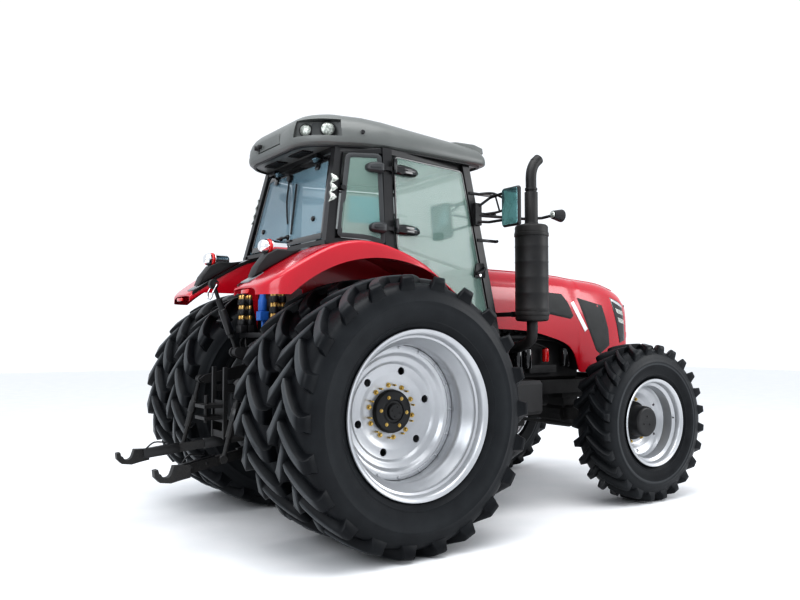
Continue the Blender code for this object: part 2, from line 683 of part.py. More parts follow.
def make_cab_tub():
    """Floor, rear wall and front bulkhead; the floor stands on the gearbox."""
    inside = FENDER_INNER - GAP
    floor = block((TUB_REAR_X, 1.06), (-inside, inside), FLOOR_Z)
    apron = block((1.03, 1.42), (-0.60, 0.60), (FLOOR_Z[0] - 0.002, FLOOR_Z[1]))
    wall = block((TUB_REAR_X - 0.03, TUB_REAR_X), (-inside, inside),
                 (FLOOR_Z[0] + 0.001, REAR_SILL_Z[0] - GAP))
    wide = A_FOOT[1] - POST_DEEP
    bulkhead = block((1.345, 1.39), (-wide, wide), (FLOOR_Z[0] + 0.002, SCREEN_FOOT_Z - 0.01))
    lean = reshaped(bulkhead, lambda x, y, z: (x + (a_line(z)[0] - A_FOOT[0]), y, z))
    mounts = [block((x, x + 0.1), (y, y + 0.1), ((GEARBOX_TOP if x > 1.3 else GEARBOX_Z[1]) + GAP, 1.25))
              for x in (0.5, 1.35) for y in (-0.17, 0.07)]
    node("cab_floor", unite(floor, apron, wall, lean, *mounts), BLACK)


def make_glass():
    """Windshield, hinged rear window, hinged quarter windows, and the doors with their glass."""
    screen_top = POST_TOP - HEADER
    low = a_line(SCREEN_FOOT_Z)[1] - POST_HALF - 3 * GAP
    high = a_line(screen_top)[1] - POST_HALF - 3 * GAP
    screen = plate([[(-low, SCREEN_FOOT_Z), (low, SCREEN_FOOT_Z), (high, screen_top),
                     (-high, screen_top)]], "YZ", (0.0, GLASS))
    reshaped(screen, lambda x, y, z: (x + a_line(z)[0], y, z))
    node("windshield", screen, CLEAR)

    foot = REAR_GLASS_FOOT_Z
    top = POST_TOP - 0.052
    low = c_line(foot)[1] - POST_DEEP - SWING - 0.01
    high = c_line(top)[1] - POST_DEEP - SWING
    pane = plate([[(-low, foot), (low, foot), (high, top), (-high, top)]], "YZ", (-GLASS, 0))
    reshaped(pane, lambda x, y, z: (x + c_line(z)[0] - 0.01, y, z))
    hinge_x, hinge_z = REAR_HINGE
    barrels = [rod((hinge_x, y, hinge_z), (hinge_x, y + 0.06, hinge_z), 0.008, 10)
               for y in (-0.36, 0.30)]
    straps = [block((hinge_x - 0.004, c_line(top)[0] - 0.012), (y + 0.01, y + 0.05),
                    (hinge_z - 0.03, hinge_z)) for y in (-0.36, 0.30)]
    node("rear_window", unite(pane, *barrels, *straps), CLEAR, (hinge_x, 0, hinge_z))

    head = POST_TOP - HEADER - SWING
    door_x = B_X + B_HALF + SWING
    slope = [0.37, 0.52, 0.67, 0.80, 0.90, 0.985]
    lift = SILL + SWING

    def door_outline(inset):
        base = FENDER_FOOT[1] + SILL + 0.002 + SWING + inset
        under = [(x + 0.03 + inset * 0.7, fender_top(x) + lift + inset * 0.8) for x in slope]
        under = [point for point in under if point[1] > base + 0.01]
        front = POST_HALF + SWING + inset
        return [(door_x + inset, fender_top(door_x) + lift + inset), *under,
                (1.025 + inset * 0.5, base), (a_line(base)[0] - front, base),
                (a_line(head - inset)[0] - front, head - inset), (door_x + inset, head - inset)]

    def quarter_outline():
        ahead = B_X - B_HALF - SWING
        foot_z = [(x, fender_top(x) + SILL + SWING) for x in (-0.2, 0.0)]
        low_z = fender_top(-0.24) + SILL + SWING
        return [(c_line(low_z)[0] + POST_HALF + SWING, low_z), *foot_z,
                (ahead, fender_top(ahead) + SILL + SWING), (ahead, head),
                (c_line(head)[0] + POST_HALF + SWING, head)]

    for side, word in ((1, "left"), (-1, "right")):
        ring = flank_plate([door_outline(0), door_outline(DOOR_RAIL)], (0.0, DOOR_DEEP))
        ring = unite(ring, *[knuckle(door_hinge, high + GAP, 2 * high - low, 0.05)
                             for low, high in HINGES_Z])
        hinge_x, hinge_y = door_hinge(B_FOOT_Z)
        pivot = (hinge_x, side * hinge_y, B_FOOT_Z)
        node(f"door_{word}", sided(ring, side), BLACK, pivot)
        pane = flank_plate([door_outline(DOOR_RAIL + GAP * 2)], (0.012, 0.012 + GLASS))
        node(f"door_glass_{word}", sided(pane, side), CLEAR, pivot)
        quarter = flank_plate([quarter_outline()], (0.004, 0.004 + GLASS))
        quarter = unite(quarter, *[knuckle(quarter_hinge, high + GAP, 2 * high - low, -0.05, 0.046)
                                   for low, high in HINGES_Z])
        hinge_x, hinge_y = quarter_hinge(B_FOOT_Z)
        node(f"quarter_window_{word}", sided(quarter, side), CLEAR,
             (hinge_x, side * hinge_y, B_FOOT_Z))


def make_roof():
    """Roof with a crowned top, deeper at the rear, rounded in plan."""
    radius = ROOF_CORNER
    tail = ROOF_TAIL - radius
    half = ROOF_HALF
    plan = [*arc((ROOF_REAR + radius, -tail), radius, 180, 255, 5),
            (B_X, -half), *arc((ROOF_FRONT - 0.12, -half + 0.18), 0.12, 290, 360, 3),
            *arc((ROOF_FRONT - 0.12, half - 0.18), 0.12, 0, 70, 3),
            (B_X, half), *arc((ROOF_REAR + radius, tail), radius, 105, 180, 5)]
    layers = [(ROOF_Z, 0.04), (ROOF_Z + 0.035, 0.0), (ROOF_Z + 0.11, 0.008),
              (ROOF_Z + 0.185, 0.07), (ROOF_TOP, 0.22)]
    work = bmesh.new()
    centre = Vector((B_X + 0.15, 0))
    rings = []
    for height, inset in layers:
        ring = []
        for x, y in plan:
            away = Vector((x, y)) - centre
            x, y = centre + away * (1 - inset / away.length)
            fall = 0.04 * (x - ROOF_REAR) * (height - ROOF_Z) / (ROOF_TOP - ROOF_Z)
            ring.append(work.verts.new((x, y, height - fall)))
        rings.append(ring)
    count = len(plan)
    for lower, upper in zip(rings, rings[1:]):
        for i in range(count):
            j = (i + 1) % count
            work.faces.new((lower[i], lower[j], upper[j], upper[i]))
    work.faces.new(list(reversed(rings[0])))
    work.faces.new(rings[-1])
    bmesh.ops.triangulate(work, faces=work.faces)
    node("roof", from_bmesh(work), GREY)


def fender_outer(x):
    """Outer edge in plan: straight, then rounded off to the rear end."""
    back = FENDER_TIP[0] + FENDER_CORNER - x
    if back <= 0:
        return FENDER_OUTER
    return FENDER_OUTER - FENDER_CORNER + math.sqrt(max(FENDER_CORNER ** 2 - back ** 2, 0))


def make_fender(side, word):
    """Sheet over the inner tyre with a lip outside, a panel inside and a closed rear end."""
    sheet = FENDER_SHEET
    corner = [FENDER_TIP[0] + FENDER_CORNER * share for share in (0, 0.05, 0.2, 0.5, 1)]
    stations = [*corner, *[x for x, z in FENDER_CROWN], FENDER_FOOT[0]]
    work = bmesh.new()
    rows = []
    for x in stations:
        top = fender_top(x)
        wheel_arc = REAR_RADIUS + math.sqrt(FENDER_LIP ** 2 - x * x)
        lip = max(wheel_arc, FENDER_TIP[1] - 0.06) if x < 0 else wheel_arc
        low = min(FENDER_TAIL_LOW, top - 0.11) if x < FENDER_TAIL_X else FENDER_LOW
        lip = min(lip, top - sheet * 1.6)
        edge = fender_outer(x)
        drop = sheet * (1.0 if x < 0.5 else 1.5)
        section = [(FENDER_INNER, low), (FENDER_INNER, top), (edge, top), (edge, lip),
                   (edge - sheet, lip), (edge - sheet, top - drop),
                   (FENDER_INNER + sheet, top - drop), (FENDER_INNER + sheet, low)]
        rows.append([work.verts.new((x, y, z)) for y, z in section])
    for back, ahead in zip(rows, rows[1:]):
        for i in range(8):
            j = (i + 1) % 8
            work.faces.new((back[i], back[j], ahead[j], ahead[i]))
    work.faces.new(rows[0])
    work.faces.new(rows[-1])
    bmesh.ops.triangulate(work, faces=work.faces)
    tail = block((FENDER_TIP[0] + 0.002, FENDER_TIP[0] + 0.012),
                 (FENDER_INNER + 0.004, FENDER_OUTER - FENDER_CORNER - 0.004),
                 (FENDER_TIP[1] - 0.058, FENDER_TIP[1] - 0.005))
    node(f"fender_{word}", sided(unite(from_bmesh(work), tail), side), RED)


# ---------------------------------------------------------------- hood
def nose_x(y):
    """Front of the nose in plan, bowed back towards its corners."""
    return NOSE_X - NOSE_BOW * y * y


def hood_section(x, top, half, low, front=False):
    """One cross-section from the left lower edge over the crown to the right lower edge."""
    side = [(half, low), (half + 0.004, between(0.5, 0, 1, low, top)), (half - 0.012, top - 0.16),
            (half - 0.065, top - 0.06), (half * 0.55, top - 0.012), (0, top)]
    points = side + [(-y, z) for y, z in reversed(side[:-1])]
    return [(nose_x(y) if front else x, y, z) for y, z in points]


def make_hood():
    """Sheet hood hinged at its rear edge, with the grille in its nose."""
    sections = [hood_section(*station) for station in HOOD_STATIONS]
    sections.append(hood_section(0, NOSE_TOP, NOSE_HALF, 1.12, front=True))
    work = bmesh.new()
    rows = [[work.verts.new(point) for point in section] for section in sections]
    for back, ahead in zip(rows, rows[1:]):
        for i in range(len(back) - 1):
            work.faces.new((back[i], back[i + 1], ahead[i + 1], ahead[i]))
    bmesh.ops.recalc_face_normals(work, faces=work.faces)
    mesh = bpy.data.meshes.new("hood")
    work.to_mesh(mesh)
    work.free()
    holder = bpy.data.objects.new("hood", mesh)
    wall = holder.modifiers.new("Wall", "SOLIDIFY")
    wall.thickness = HOOD_SHEET
    wall.offset = -1
    wall.use_even_offset = True
    pivot = (HOOD_HINGE[0], 0, HOOD_HINGE[1])
    shell = evaluated(holder)
    lugs = []
    for side in (1, -1):
        lug = plate([[*arc(HOOD_HINGE, 0.026, 180, 360, 6), (HOOD_HINGE[0] + 0.04, 2.024),
                      (HOOD_HINGE[0] - 0.03, 2.024)]], "XZ", (0.255, 0.2845))
        hole = rod((HOOD_HINGE[0], 0.2, HOOD_HINGE[1]), (HOOD_HINGE[0], 0.33, HOOD_HINGE[1]),
                   HINGE_PIN + PIN_RUN, 12)
        lugs.append(sided(carve(lug, hole), side))
    node("hood", unite(shell, *lugs), RED, pivot)

    half = NOSE_HALF - HOOD_SHEET - 0.001
    steps = [half * (i / 6 - 1) for i in range(13)]
    front = [(nose_x(y) - 0.012, y) for y in steps]
    back = [(nose_x(y) - 0.04, y) for y in reversed(steps)]
    grille = plate([front + back], "XY", (1.0, 2.0))
    sheet = HOOD_SHEET - GAP
    inside = [(y, z) for _, y, z in hood_section(0, NOSE_TOP - sheet, NOSE_HALF - sheet, 1.125)]
    trim = plate([inside], "YZ", (3.0, 3.6))
    node("nose_grille", boolean(grille, [trim], "INTERSECT"), BLACK, pivot)


def make_stand():
    """Stand behind the engine with the two ears and pins that the hood turns on."""
    x, z = HOOD_HINGE
    wall = block(STAND_X, (-0.33, 0.33), (1.30, 1.86))
    legs = block((STAND_X[0] + 0.002, STAND_X[1] + 0.02), (-0.2, 0.2), (GEARBOX_TOP + GAP, 1.35))
    ears = []
    for side in (1, -1):
        ear = plate([[(STAND_X[0] + 0.005, 1.80), (x + 0.02, 1.80), (x + 0.026, z),
                      (x, z + 0.026), (x - 0.026, z)]], "XZ", STAND_EAR_Y)
        pin = rod((x, 0.25, z), (x, STAND_EAR_Y[1] - 0.004, z), HINGE_PIN, 12)
        ears.append(sided(unite(ear, pin), side))
    node("hood_stand", unite(wall, legs, *ears), BLACK)


# ---------------------------------------------------------------- inside the cab
def make_inside():
    """Seat on its base, dash with the steering column, and the steering wheel."""
    base = unite(block((0.22, 0.56), (-0.18, 0.18), (FLOOR_Z[1] + GAP, 1.62), 0.02),
                 block((0.14, 0.64), (-0.24, 0.24), (1.60, 1.64), 0.01))
    node("seat_base", base, BLACK)
    seat = unite(block((0.12, 0.66), (-0.26, 0.26), (1.64 + GAP, 1.76), 0.035),
                 block((0.04, 0.18), (-0.24, 0.24), (1.68, 2.32), 0.04))
    node("operator_seat", seat, VINYL)
    top = Vector(WHEEL_CENTRE) - Vector(COLUMN) * (0.028 + GAP)
    column = rod(top - Vector(COLUMN) * 0.50, top, 0.035, 16)
    dash = unite(block((1.02, 1.19), (-0.20, 0.20), (FLOOR_Z[1] + GAP, 1.80), 0.03), column)
    node("dash_console", dash, VINYL)
    side = unite(block((0.10, 0.80), (-0.44, -0.30), (FLOOR_Z[1] + GAP, 1.74), 0.03),
                 block((0.20, 0.62), (-0.40, -0.32), (1.72, 1.82), 0.02))
    node("side_console", side, VINYL)

    rim = turned([(0.19 + 0.013 * math.cos(a * math.pi / 3), 0.013 * math.sin(a * math.pi / 3))
                  for a in range(6)], 24)
    spokes = [rod((0, 0, 0), (0.188 * math.cos(a), 0, 0.188 * math.sin(a)), 0.011, 8)
              for a in (math.radians(90), math.radians(210), math.radians(330))]
    hub = rod((0, -0.028, 0), (0, 0.02, 0), 0.042, 16)
    wheel = unite(rim, hub, *spokes)
    wheel.transform(Matrix.Rotation(math.pi / 2, 4, "X"))
    wheel.transform(Matrix.Translation(WHEEL_CENTRE) @ Matrix.Rotation(-WHEEL_LEAN, 4, "Y"))
    node("steering_wheel", wheel, BLACK, WHEEL_CENTRE)


WHEEL_CENTRE = (0.90, 0, 2.0)
WHEEL_LEAN = math.radians(30)
COLUMN = (-math.sin(WHEEL_LEAN), 0, math.cos(WHEEL_LEAN))


def make_mirror(side, word):
    """Mirror on its two tubes and the lamp on its arm, from one bracket on the front post."""
    low = 2.34
    face = a_line(low)[1] + POST_HALF + GAP
    x = a_line(low)[0]
    bracket = block((x - 0.035, x + 0.03), (face, face + 0.03), (low, 2.52))
    head = block((1.19, 1.235), (0.885, 1.085), (2.30, 2.61), 0.015)
    upper = pipe([(x, face + 0.015, 2.49), (1.20, 0.74, 2.56), (1.212, 0.86, 2.575),
                  (1.212, 0.98, 2.57)], 0.011)
    lower = pipe([(x, face + 0.015, 2.37), (1.19, 0.74, 2.36), (1.212, 0.98, 2.36)], 0.011)
    arm = pipe([(x + 0.01, face + 0.02, 2.42), (1.30, 0.69, 2.42), (1.62, 0.69, 2.43),
                (1.76, 0.76, 2.44), (1.82, 0.85, 2.46)], 0.012)
    lamp = rod((1.80, 0.85, 2.46), (1.90, 0.85, 2.46), 0.035, 16, 0.055)
    node(f"mirror_{word}", sided(unite(bracket, head, upper, lower, arm, lamp), side), BLACK)


# ---------------------------------------------------------------- rear linkage
def lower_eye():
    """Where the lift rod meets the lower link, on the link's centre line."""
    share = between(LINK_EYE_X, LINK_PIVOT[0], LINK_HOOK[0], 0, 1)
    return [first + (last - first) * share for first, last in zip(LINK_PIVOT, LINK_HOOK)]


def make_linkage():
    """Lower links with hooks, lift arms on their shaft, lift rods and the stored top link."""
    eye = lower_eye()
    bore = PIN_RADIUS + PIN_RUN
    for side, word in ((1, "left"), (-1, "right")):
        px, py, pz = LINK_PIVOT
        hx, hy, hz = LINK_HOOK
        ball = rod((px, 0.228, pz), (px, 0.278, pz), 0.042, 16)
        stay = bar((px, 0.253, pz), (hx + 0.06, hy, hz), 0.03, 0.065)
        claw = [(hx + 0.16, hz - 0.035), (hx + 0.10, hz - 0.045), (hx + 0.03, hz - 0.06),
                (hx - 0.04, hz - 0.05), (hx - 0.075, hz - 0.015), (hx - 0.08, hz + 0.03),
                (hx - 0.055, hz + 0.035), (hx - 0.045, hz + 0.005),
                *arc((hx, hz + 0.012), 0.036, 195, 345, 6), (hx + 0.05, hz + 0.05),
                (hx + 0.16, hz + 0.045)]
        hook = plate([claw], "XZ", (hy - 0.028, hy + 0.028))
        hole = rod((px, 0.18, pz), (px, 0.34, pz), bore, 16)
        boss = rod((eye[0], eye[1], eye[2]), (eye[0], LIFT_ROD_Y - 0.018, eye[2]), 0.026, 16)
        link = carve(unite(ball, stay, hook, boss), hole)
        node(f"lower_link_{word}", sided(link, side), BLACK, (px, side * py, pz))

    (ax, az), (ex, ez) = ARM_PIVOT, ARM_END
    pieces = [rod((ax, -ARM_Y - 0.02, az), (ax, ARM_Y + 0.02, az), 0.035, 20)]
    for side in (1, -1):
        arm = plate([[(ax + 0.05, az - 0.03), (ax + 0.05, az + 0.03), (ax, az + 0.055),
                      (ex + 0.01, ez + 0.032), (ex - 0.03, ez), (ex + 0.01, ez - 0.032),
                      (ax, az - 0.055)]], "XZ", (ARM_Y - 0.018, ARM_Y + 0.018))
        peg = rod((ex, ARM_Y, ez), (ex, LIFT_ROD_Y + 0.02, ez), PIN_RADIUS)
        pieces.append(sided(unite(arm, peg), side))
    node("lift_arms", unite(*pieces), BLACK, (ax, 0, az))

    rod_y = LIFT_ROD_Y
    for side, word in ((1, "left"), (-1, "right")):
        upper_eye = rod((ex, ARM_Y + 0.018 + GAP, ez), (ex, rod_y + 0.018, ez), 0.032, 16)
        stem_top = (ex, rod_y, ez)
        stem_low = (eye[0], rod_y, eye[2])
        stem = rod(stem_top, stem_low, 0.016)
        sleeve = rod([between(0.25, 0, 1, a, b) for a, b in zip(stem_top, stem_low)],
                     [between(0.72, 0, 1, a, b) for a, b in zip(stem_top, stem_low)], 0.025)
        low_eye = rod((eye[0], rod_y - 0.017, eye[2]), (eye[0], rod_y + 0.017, eye[2]), 0.028, 16)
        hole = rod((ex, rod_y - 0.08, ez), (ex, rod_y + 0.05, ez), bore, 16)
        whole = carve(unite(upper_eye, stem, sleeve, low_eye), hole)
        node(f"lift_rod_{word}", sided(whole, side), BLACK, (ex, side * rod_y, ez))

    (tx, tz), (bx, bz) = TOP_LINK_PIVOT, TOP_LINK_END
    run = Vector((bx - tx, 0, bz - tz))
    foot = rod((tx, -0.025, tz), (tx, 0.025, tz), 0.034, 16)
    stem = rod((tx, 0, tz), (bx, 0, bz), 0.014)
    barrel = rod(Vector((tx, 0, tz)) + run * 0.22, Vector((tx, 0, tz)) + run * 0.78, 0.024)
    ball = rod((bx, -0.022, bz), (bx, 0.022, bz), 0.036, 16)
    hole = rod((tx, -0.1, tz), (tx, 0.1, tz), bore, 16)
    node("top_link", carve(unite(foot, stem, barrel, ball), hole), BLACK, (tx, 0, tz))


def make_ladder():
    """Upright hitch rails with a clevis and pin, on plates from the axle housing."""
    rear = LADDER_X - 0.015
    pieces = []
    for side in (1, -1):
        rail = block((rear, LADDER_X + 0.015), LADDER_Y, LADDER_Z)
        plates = [block((LADDER_X, -HOUSING_X - GAP), (LADDER_Y[0] + 0.004, LADDER_Y[1] - 0.004),
                        height) for height in ((0.70, 0.80), (1.02, 1.07))]
        pieces.append(sided(unite(rail, *plates), side))
    jaws = [block((LADDER_X - 0.15, LADDER_X + 0.02), (-0.10, 0.10), (z, z + 0.025))
            for z in (0.825, 0.91)]
    cross = block((LADDER_X - 0.005, LADDER_X + 0.01), (-0.11, 0.11), (0.80, 0.96))
    foot = block((LADDER_X - 0.01, LADDER_X + 0.01), (-0.11, 0.11), (0.69, 0.74))
    pin = rod((LADDER_X - 0.10, 0, 0.80), (LADDER_X - 0.10, 0, 1.0), 0.016)
    node("hitch_ladder", unite(pieces[0], pieces[1], cross, foot, *jaws, pin), BLACK)


make_chassis()
make_front_axle()
make_side_boxes()
make_exhaust()
make_ladder()
make_linkage()
make_cab_frame()
make_cab_tub()
make_glass()
make_roof()
make_inside()
make_hood()
make_stand()
for flank, flank_word in ((1, "left"), (-1, "right")):
    make_wheels(flank, flank_word)
    make_fender(flank, flank_word)
    make_mirror(flank, flank_word)
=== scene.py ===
"""Farm tractor with twin rear wheels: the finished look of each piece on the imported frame."""
import math
import bmesh
import bpy
from mathutils import Matrix, Vector


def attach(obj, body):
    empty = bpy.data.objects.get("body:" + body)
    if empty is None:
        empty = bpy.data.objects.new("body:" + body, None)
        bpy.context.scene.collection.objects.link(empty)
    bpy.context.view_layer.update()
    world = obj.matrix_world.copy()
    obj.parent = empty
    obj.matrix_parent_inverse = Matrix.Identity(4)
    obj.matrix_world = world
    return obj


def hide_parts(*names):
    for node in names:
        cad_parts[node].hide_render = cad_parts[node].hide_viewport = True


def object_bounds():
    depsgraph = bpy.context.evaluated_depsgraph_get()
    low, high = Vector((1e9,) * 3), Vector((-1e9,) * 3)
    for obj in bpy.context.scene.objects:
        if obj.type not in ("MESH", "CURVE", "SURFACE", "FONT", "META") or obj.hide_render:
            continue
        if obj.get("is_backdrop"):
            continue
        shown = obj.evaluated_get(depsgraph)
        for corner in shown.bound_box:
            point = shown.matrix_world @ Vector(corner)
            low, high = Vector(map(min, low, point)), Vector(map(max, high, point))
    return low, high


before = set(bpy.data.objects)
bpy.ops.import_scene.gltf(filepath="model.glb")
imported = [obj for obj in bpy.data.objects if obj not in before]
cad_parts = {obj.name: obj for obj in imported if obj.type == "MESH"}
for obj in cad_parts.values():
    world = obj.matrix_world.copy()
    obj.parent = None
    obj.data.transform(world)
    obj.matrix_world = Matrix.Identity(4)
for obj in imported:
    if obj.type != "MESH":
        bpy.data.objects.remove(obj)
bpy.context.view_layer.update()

# ---------------------------------------------------------------- yard and light
# The tractor stands on a pale level floor under soft light from above, with a camera
# low behind its right rear wheel.  X is measured from the rear axle in every section.
REAR_AXLE_X = -1.01
CAMERA_AT = (-3.96, -5.551, 1.414)
CAMERA_YAW = math.radians(55.85)
CAMERA_RISE = math.radians(2.83)

camera = bpy.data.objects.new("yard_camera", bpy.data.cameras.new("yard_camera"))
camera.data.sensor_width = 36
camera.data.lens = 35.1
camera.location = CAMERA_AT
aim = Vector((math.cos(CAMERA_YAW) * math.cos(CAMERA_RISE),
              math.sin(CAMERA_YAW) * math.cos(CAMERA_RISE), math.sin(CAMERA_RISE)))
camera.rotation_euler = aim.to_track_quat("-Z", "Y").to_euler()
bpy.context.scene.collection.objects.link(camera)
bpy.context.scene.camera = camera

bpy.context.scene.view_settings.view_transform = "Standard"
bpy.context.scene.view_settings.look = "High Contrast"
world = bpy.data.worlds.new("overcast")
world.use_nodes = True
world.node_tree.nodes["Background"].inputs["Color"].default_value = (0.93, 0.96, 1.0, 1)
world.node_tree.nodes["Background"].inputs["Strength"].default_value = 0.80
bpy.context.scene.world = world


def lamp(name, place, target, width, power, colour=(1, 1, 1)):
    light = bpy.data.lights.new(name, "AREA")
    light.shape = "RECTANGLE"
    light.size, light.size_y = width
    light.energy = power
    light.color = colour
    holder = bpy.data.objects.new(name, light)
    holder.location = place
    holder.rotation_euler = (Vector(target) - Vector(place)).to_track_quat("-Z", "Y").to_euler()
    bpy.context.scene.collection.objects.link(holder)


lamp("sky_panel", (-1.5, -2.0, 7.5), (0, 0, 1), (7, 5), 300)
lamp("side_panel", (-6.5, -4.0, 4.0), (0, -0.5, 1.2), (4, 3), 110, (0.94, 0.97, 1.0))
lamp("front_panel", (5.5, -5.0, 3.5), (0.5, -0.5, 1.0), (3, 3), 110)


def finish(name, colour, second=None, rough=(0.35, 0.5), grain=40.0, bump=0.05, patch=3.0,
           metal=0.0, coat=0.0, dust=None):
    """A painted, moulded or cast surface: patchy colour, uneven gloss and a fine grain."""
    made = bpy.data.materials.new(name)
    made.use_nodes = True
    nodes, links = made.node_tree.nodes, made.node_tree.links
    shader = nodes["Principled BSDF"]
    shader.inputs["Metallic"].default_value = metal
    shader.inputs["Coat Weight"].default_value = coat
    shader.inputs["Coat Roughness"].default_value = 0.08
    where = nodes.new("ShaderNodeTexCoord")
    broad = nodes.new("ShaderNodeTexNoise")
    broad.inputs["Scale"].default_value = patch
    broad.inputs["Detail"].default_value = 6
    links.new(where.outputs["Object"], broad.inputs["Vector"])
    tint = nodes.new("ShaderNodeValToRGB")
    tint.color_ramp.elements[0].position = 0.35
    tint.color_ramp.elements[1].position = 0.68
    other = second or tuple(min(1.0, c * 1.25 + 0.002) for c in colour)
    tint.color_ramp.elements[0].color = (*colour, 1)
    tint.color_ramp.elements[1].color = (*other, 1)
    links.new(broad.outputs["Fac"], tint.inputs["Fac"])
    shade = tint.outputs["Color"]
    fine = nodes.new("ShaderNodeTexNoise")
    fine.inputs["Scale"].default_value = grain
    fine.inputs["Detail"].default_value = 8
    links.new(where.outputs["Object"], fine.inputs["Vector"])
    if dust:
        strength, low, high = dust
        split = nodes.new("ShaderNodeSeparateXYZ")
        links.new(where.outputs["Object"], split.inputs["Vector"])
        height = nodes.new("ShaderNodeMapRange")
        height.inputs["From Min"].default_value = high
        height.inputs["From Max"].default_value = low
        links.new(split.outputs["Z"], height.inputs["Value"])
        amount = nodes.new("ShaderNodeMath")
        amount.operation = "MULTIPLY"
        links.new(height.outputs["Result"], amount.inputs[0])
        spots = nodes.new("ShaderNodeMapRange")
        spots.inputs["From Min"].default_value = 0.42
        spots.inputs["From Max"].default_value = 0.72
        spots.inputs["To Max"].default_value = strength
        links.new(fine.outputs["Fac"], spots.inputs["Value"])
        links.new(spots.outputs["Result"], amount.inputs[1])
        mix = nodes.new("ShaderNodeMixRGB")
        mix.inputs["Color2"].default_value = (0.11, 0.095, 0.075, 1)
        links.new(amount.outputs["Value"], mix.inputs["Fac"])
        links.new(shade, mix.inputs["Color1"])
        shade = mix.outputs["Color"]
    links.new(shade, shader.inputs["Base Color"])
    gloss = nodes.new("ShaderNodeMapRange")
    gloss.inputs["To Min"].default_value, gloss.inputs["To Max"].default_value = rough
    links.new(broad.outputs["Fac"], gloss.inputs["Value"])
    links.new(gloss.outputs["Result"], shader.inputs["Roughness"])
    rise = nodes.new("ShaderNodeBump")
    rise.inputs["Strength"].default_value = bump
    rise.inputs["Distance"].default_value = 0.002
    links.new(fine.outputs["Fac"], rise.inputs["Height"])
    links.new(rise.outputs["Normal"], shader.inputs["Normal"])
    return made


floor_mesh = bpy.data.meshes.new("yard_floor")
floor_mesh.from_pydata([(-30, -30, 0), (30, -30, 0), (30, 30, 0), (-30, 30, 0)], [],
                       [(0, 1, 2, 3)])
floor = bpy.data.objects.new("yard_floor", floor_mesh)
floor_mesh.materials.append(finish("pale_floor", (0.84, 0.85, 0.86), (0.88, 0.88, 0.89),
                                   (0.85, 0.95), 60, 0.02))
bpy.context.scene.collection.objects.link(floor)
floor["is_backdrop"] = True

# ---------------------------------------------------------------- tyres
# Six cleated farm tyres of black rubber, moulded in one with their cleats.  Each is
# seated on its rim's two bead seats and turns with that rim.
SIDES = ((1, "left"), (-1, "right"))


def spun(profile, centre, axis, sides=48, loop=False):
    """Closed form turned about an axis from (radius, distance along it) points."""
    axis = Vector(axis).normalized()
    across = axis.orthogonal().normalized()
    up = axis.cross(across)
    centre = Vector(centre)
    verts, rings, faces = [], [], []
    for radius, along in profile:
        if radius < 1e-6:
            rings.append([len(verts)])
            verts.append(centre + axis * along)
            continue
        rings.append(list(range(len(verts), len(verts) + sides)))
        for i in range(sides):
            turn = 2 * math.pi * i / sides
            verts.append(centre + axis * along + across * radius * math.cos(turn)
                         + up * radius * math.sin(turn))
    pairs = list(zip(rings, rings[1:]))
    if loop:
        pairs.append((rings[-1], rings[0]))
    for near, far in pairs:
        for i in range(sides):
            j = (i + 1) % sides
            corner = [near[i % len(near)], near[j % len(near)], far[j % len(far)],
                      far[i % len(far)]]
            face = tuple(dict.fromkeys(corner))
            if len(face) > 2:
                faces.append(face)
    return verts, faces


def lofted(rings, closed=True, caps=True):
    """Closed form through rings of the same number of points."""
    count = len(rings[0])
    verts = [Vector(point) for ring in rings for point in ring]
    faces = []
    for row in range(len(rings) - 1):
        for i in range(count if closed else count - 1):
            j = (i + 1) % count
            faces.append((row * count + i, row * count + j, (row + 1) * count + j,
                          (row + 1) * count + i))
    if caps and closed:
        faces.append(tuple(range(count)))
        faces.append(tuple(range(len(verts) - count, len(verts))))
    return verts, faces


def sided(shells, side):
    """The shells as drawn for the left, or mirrored to the right."""
    return [([(x, side * y, z) for x, y, z in verts], faces) for verts, faces in shells]


def piece(name, shells, material, body, bevel=0.0, segments=2, smooth=32, subdivide=0,
          stands_for=(), wall=0.0):
    """One visible piece from its shells, with its edges eased, that rides on a body."""
    work = bmesh.new()
    for verts, faces in shells:
        made = [work.verts.new(point) for point in verts]
        for face in faces:
            work.faces.new([made[i] for i in face])
    bmesh.ops.recalc_face_normals(work, faces=work.faces)
    drawn = bpy.data.meshes.new(name)
    work.to_mesh(drawn)
    work.free()
    drawn.transform(Matrix.Translation((REAR_AXLE_X, 0, 0)))
    holder = bpy.data.objects.new(name, drawn)
    bpy.context.scene.collection.objects.link(holder)
    if wall:
        skin = holder.modifiers.new("Wall", "SOLIDIFY")
        skin.thickness = wall
        skin.offset = 0
    if bevel:
        ease = holder.modifiers.new("Ease", "BEVEL")
        ease.width = bevel
        ease.segments = segments
        ease.limit_method = "ANGLE"
        ease.angle_limit = math.radians(smooth)
        ease.use_clamp_overlap = True
    if subdivide:
        holder.modifiers.new("Round", "SUBSURF").levels = subdivide
        holder.modifiers["Round"].render_levels = subdivide
    if holder.modifiers:
        view = bpy.context.evaluated_depsgraph_get()
        settled = bpy.data.meshes.new_from_object(holder.evaluated_get(view))
        holder.modifiers.clear()
        holder.data = settled
    for face in holder.data.polygons:
        face.use_smooth = True
    holder.data.set_sharp_from_angle(angle=math.radians(smooth + 8))
    holder.data.materials.append(material)
    if stands_for:
        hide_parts(*stands_for)
    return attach(holder, body)


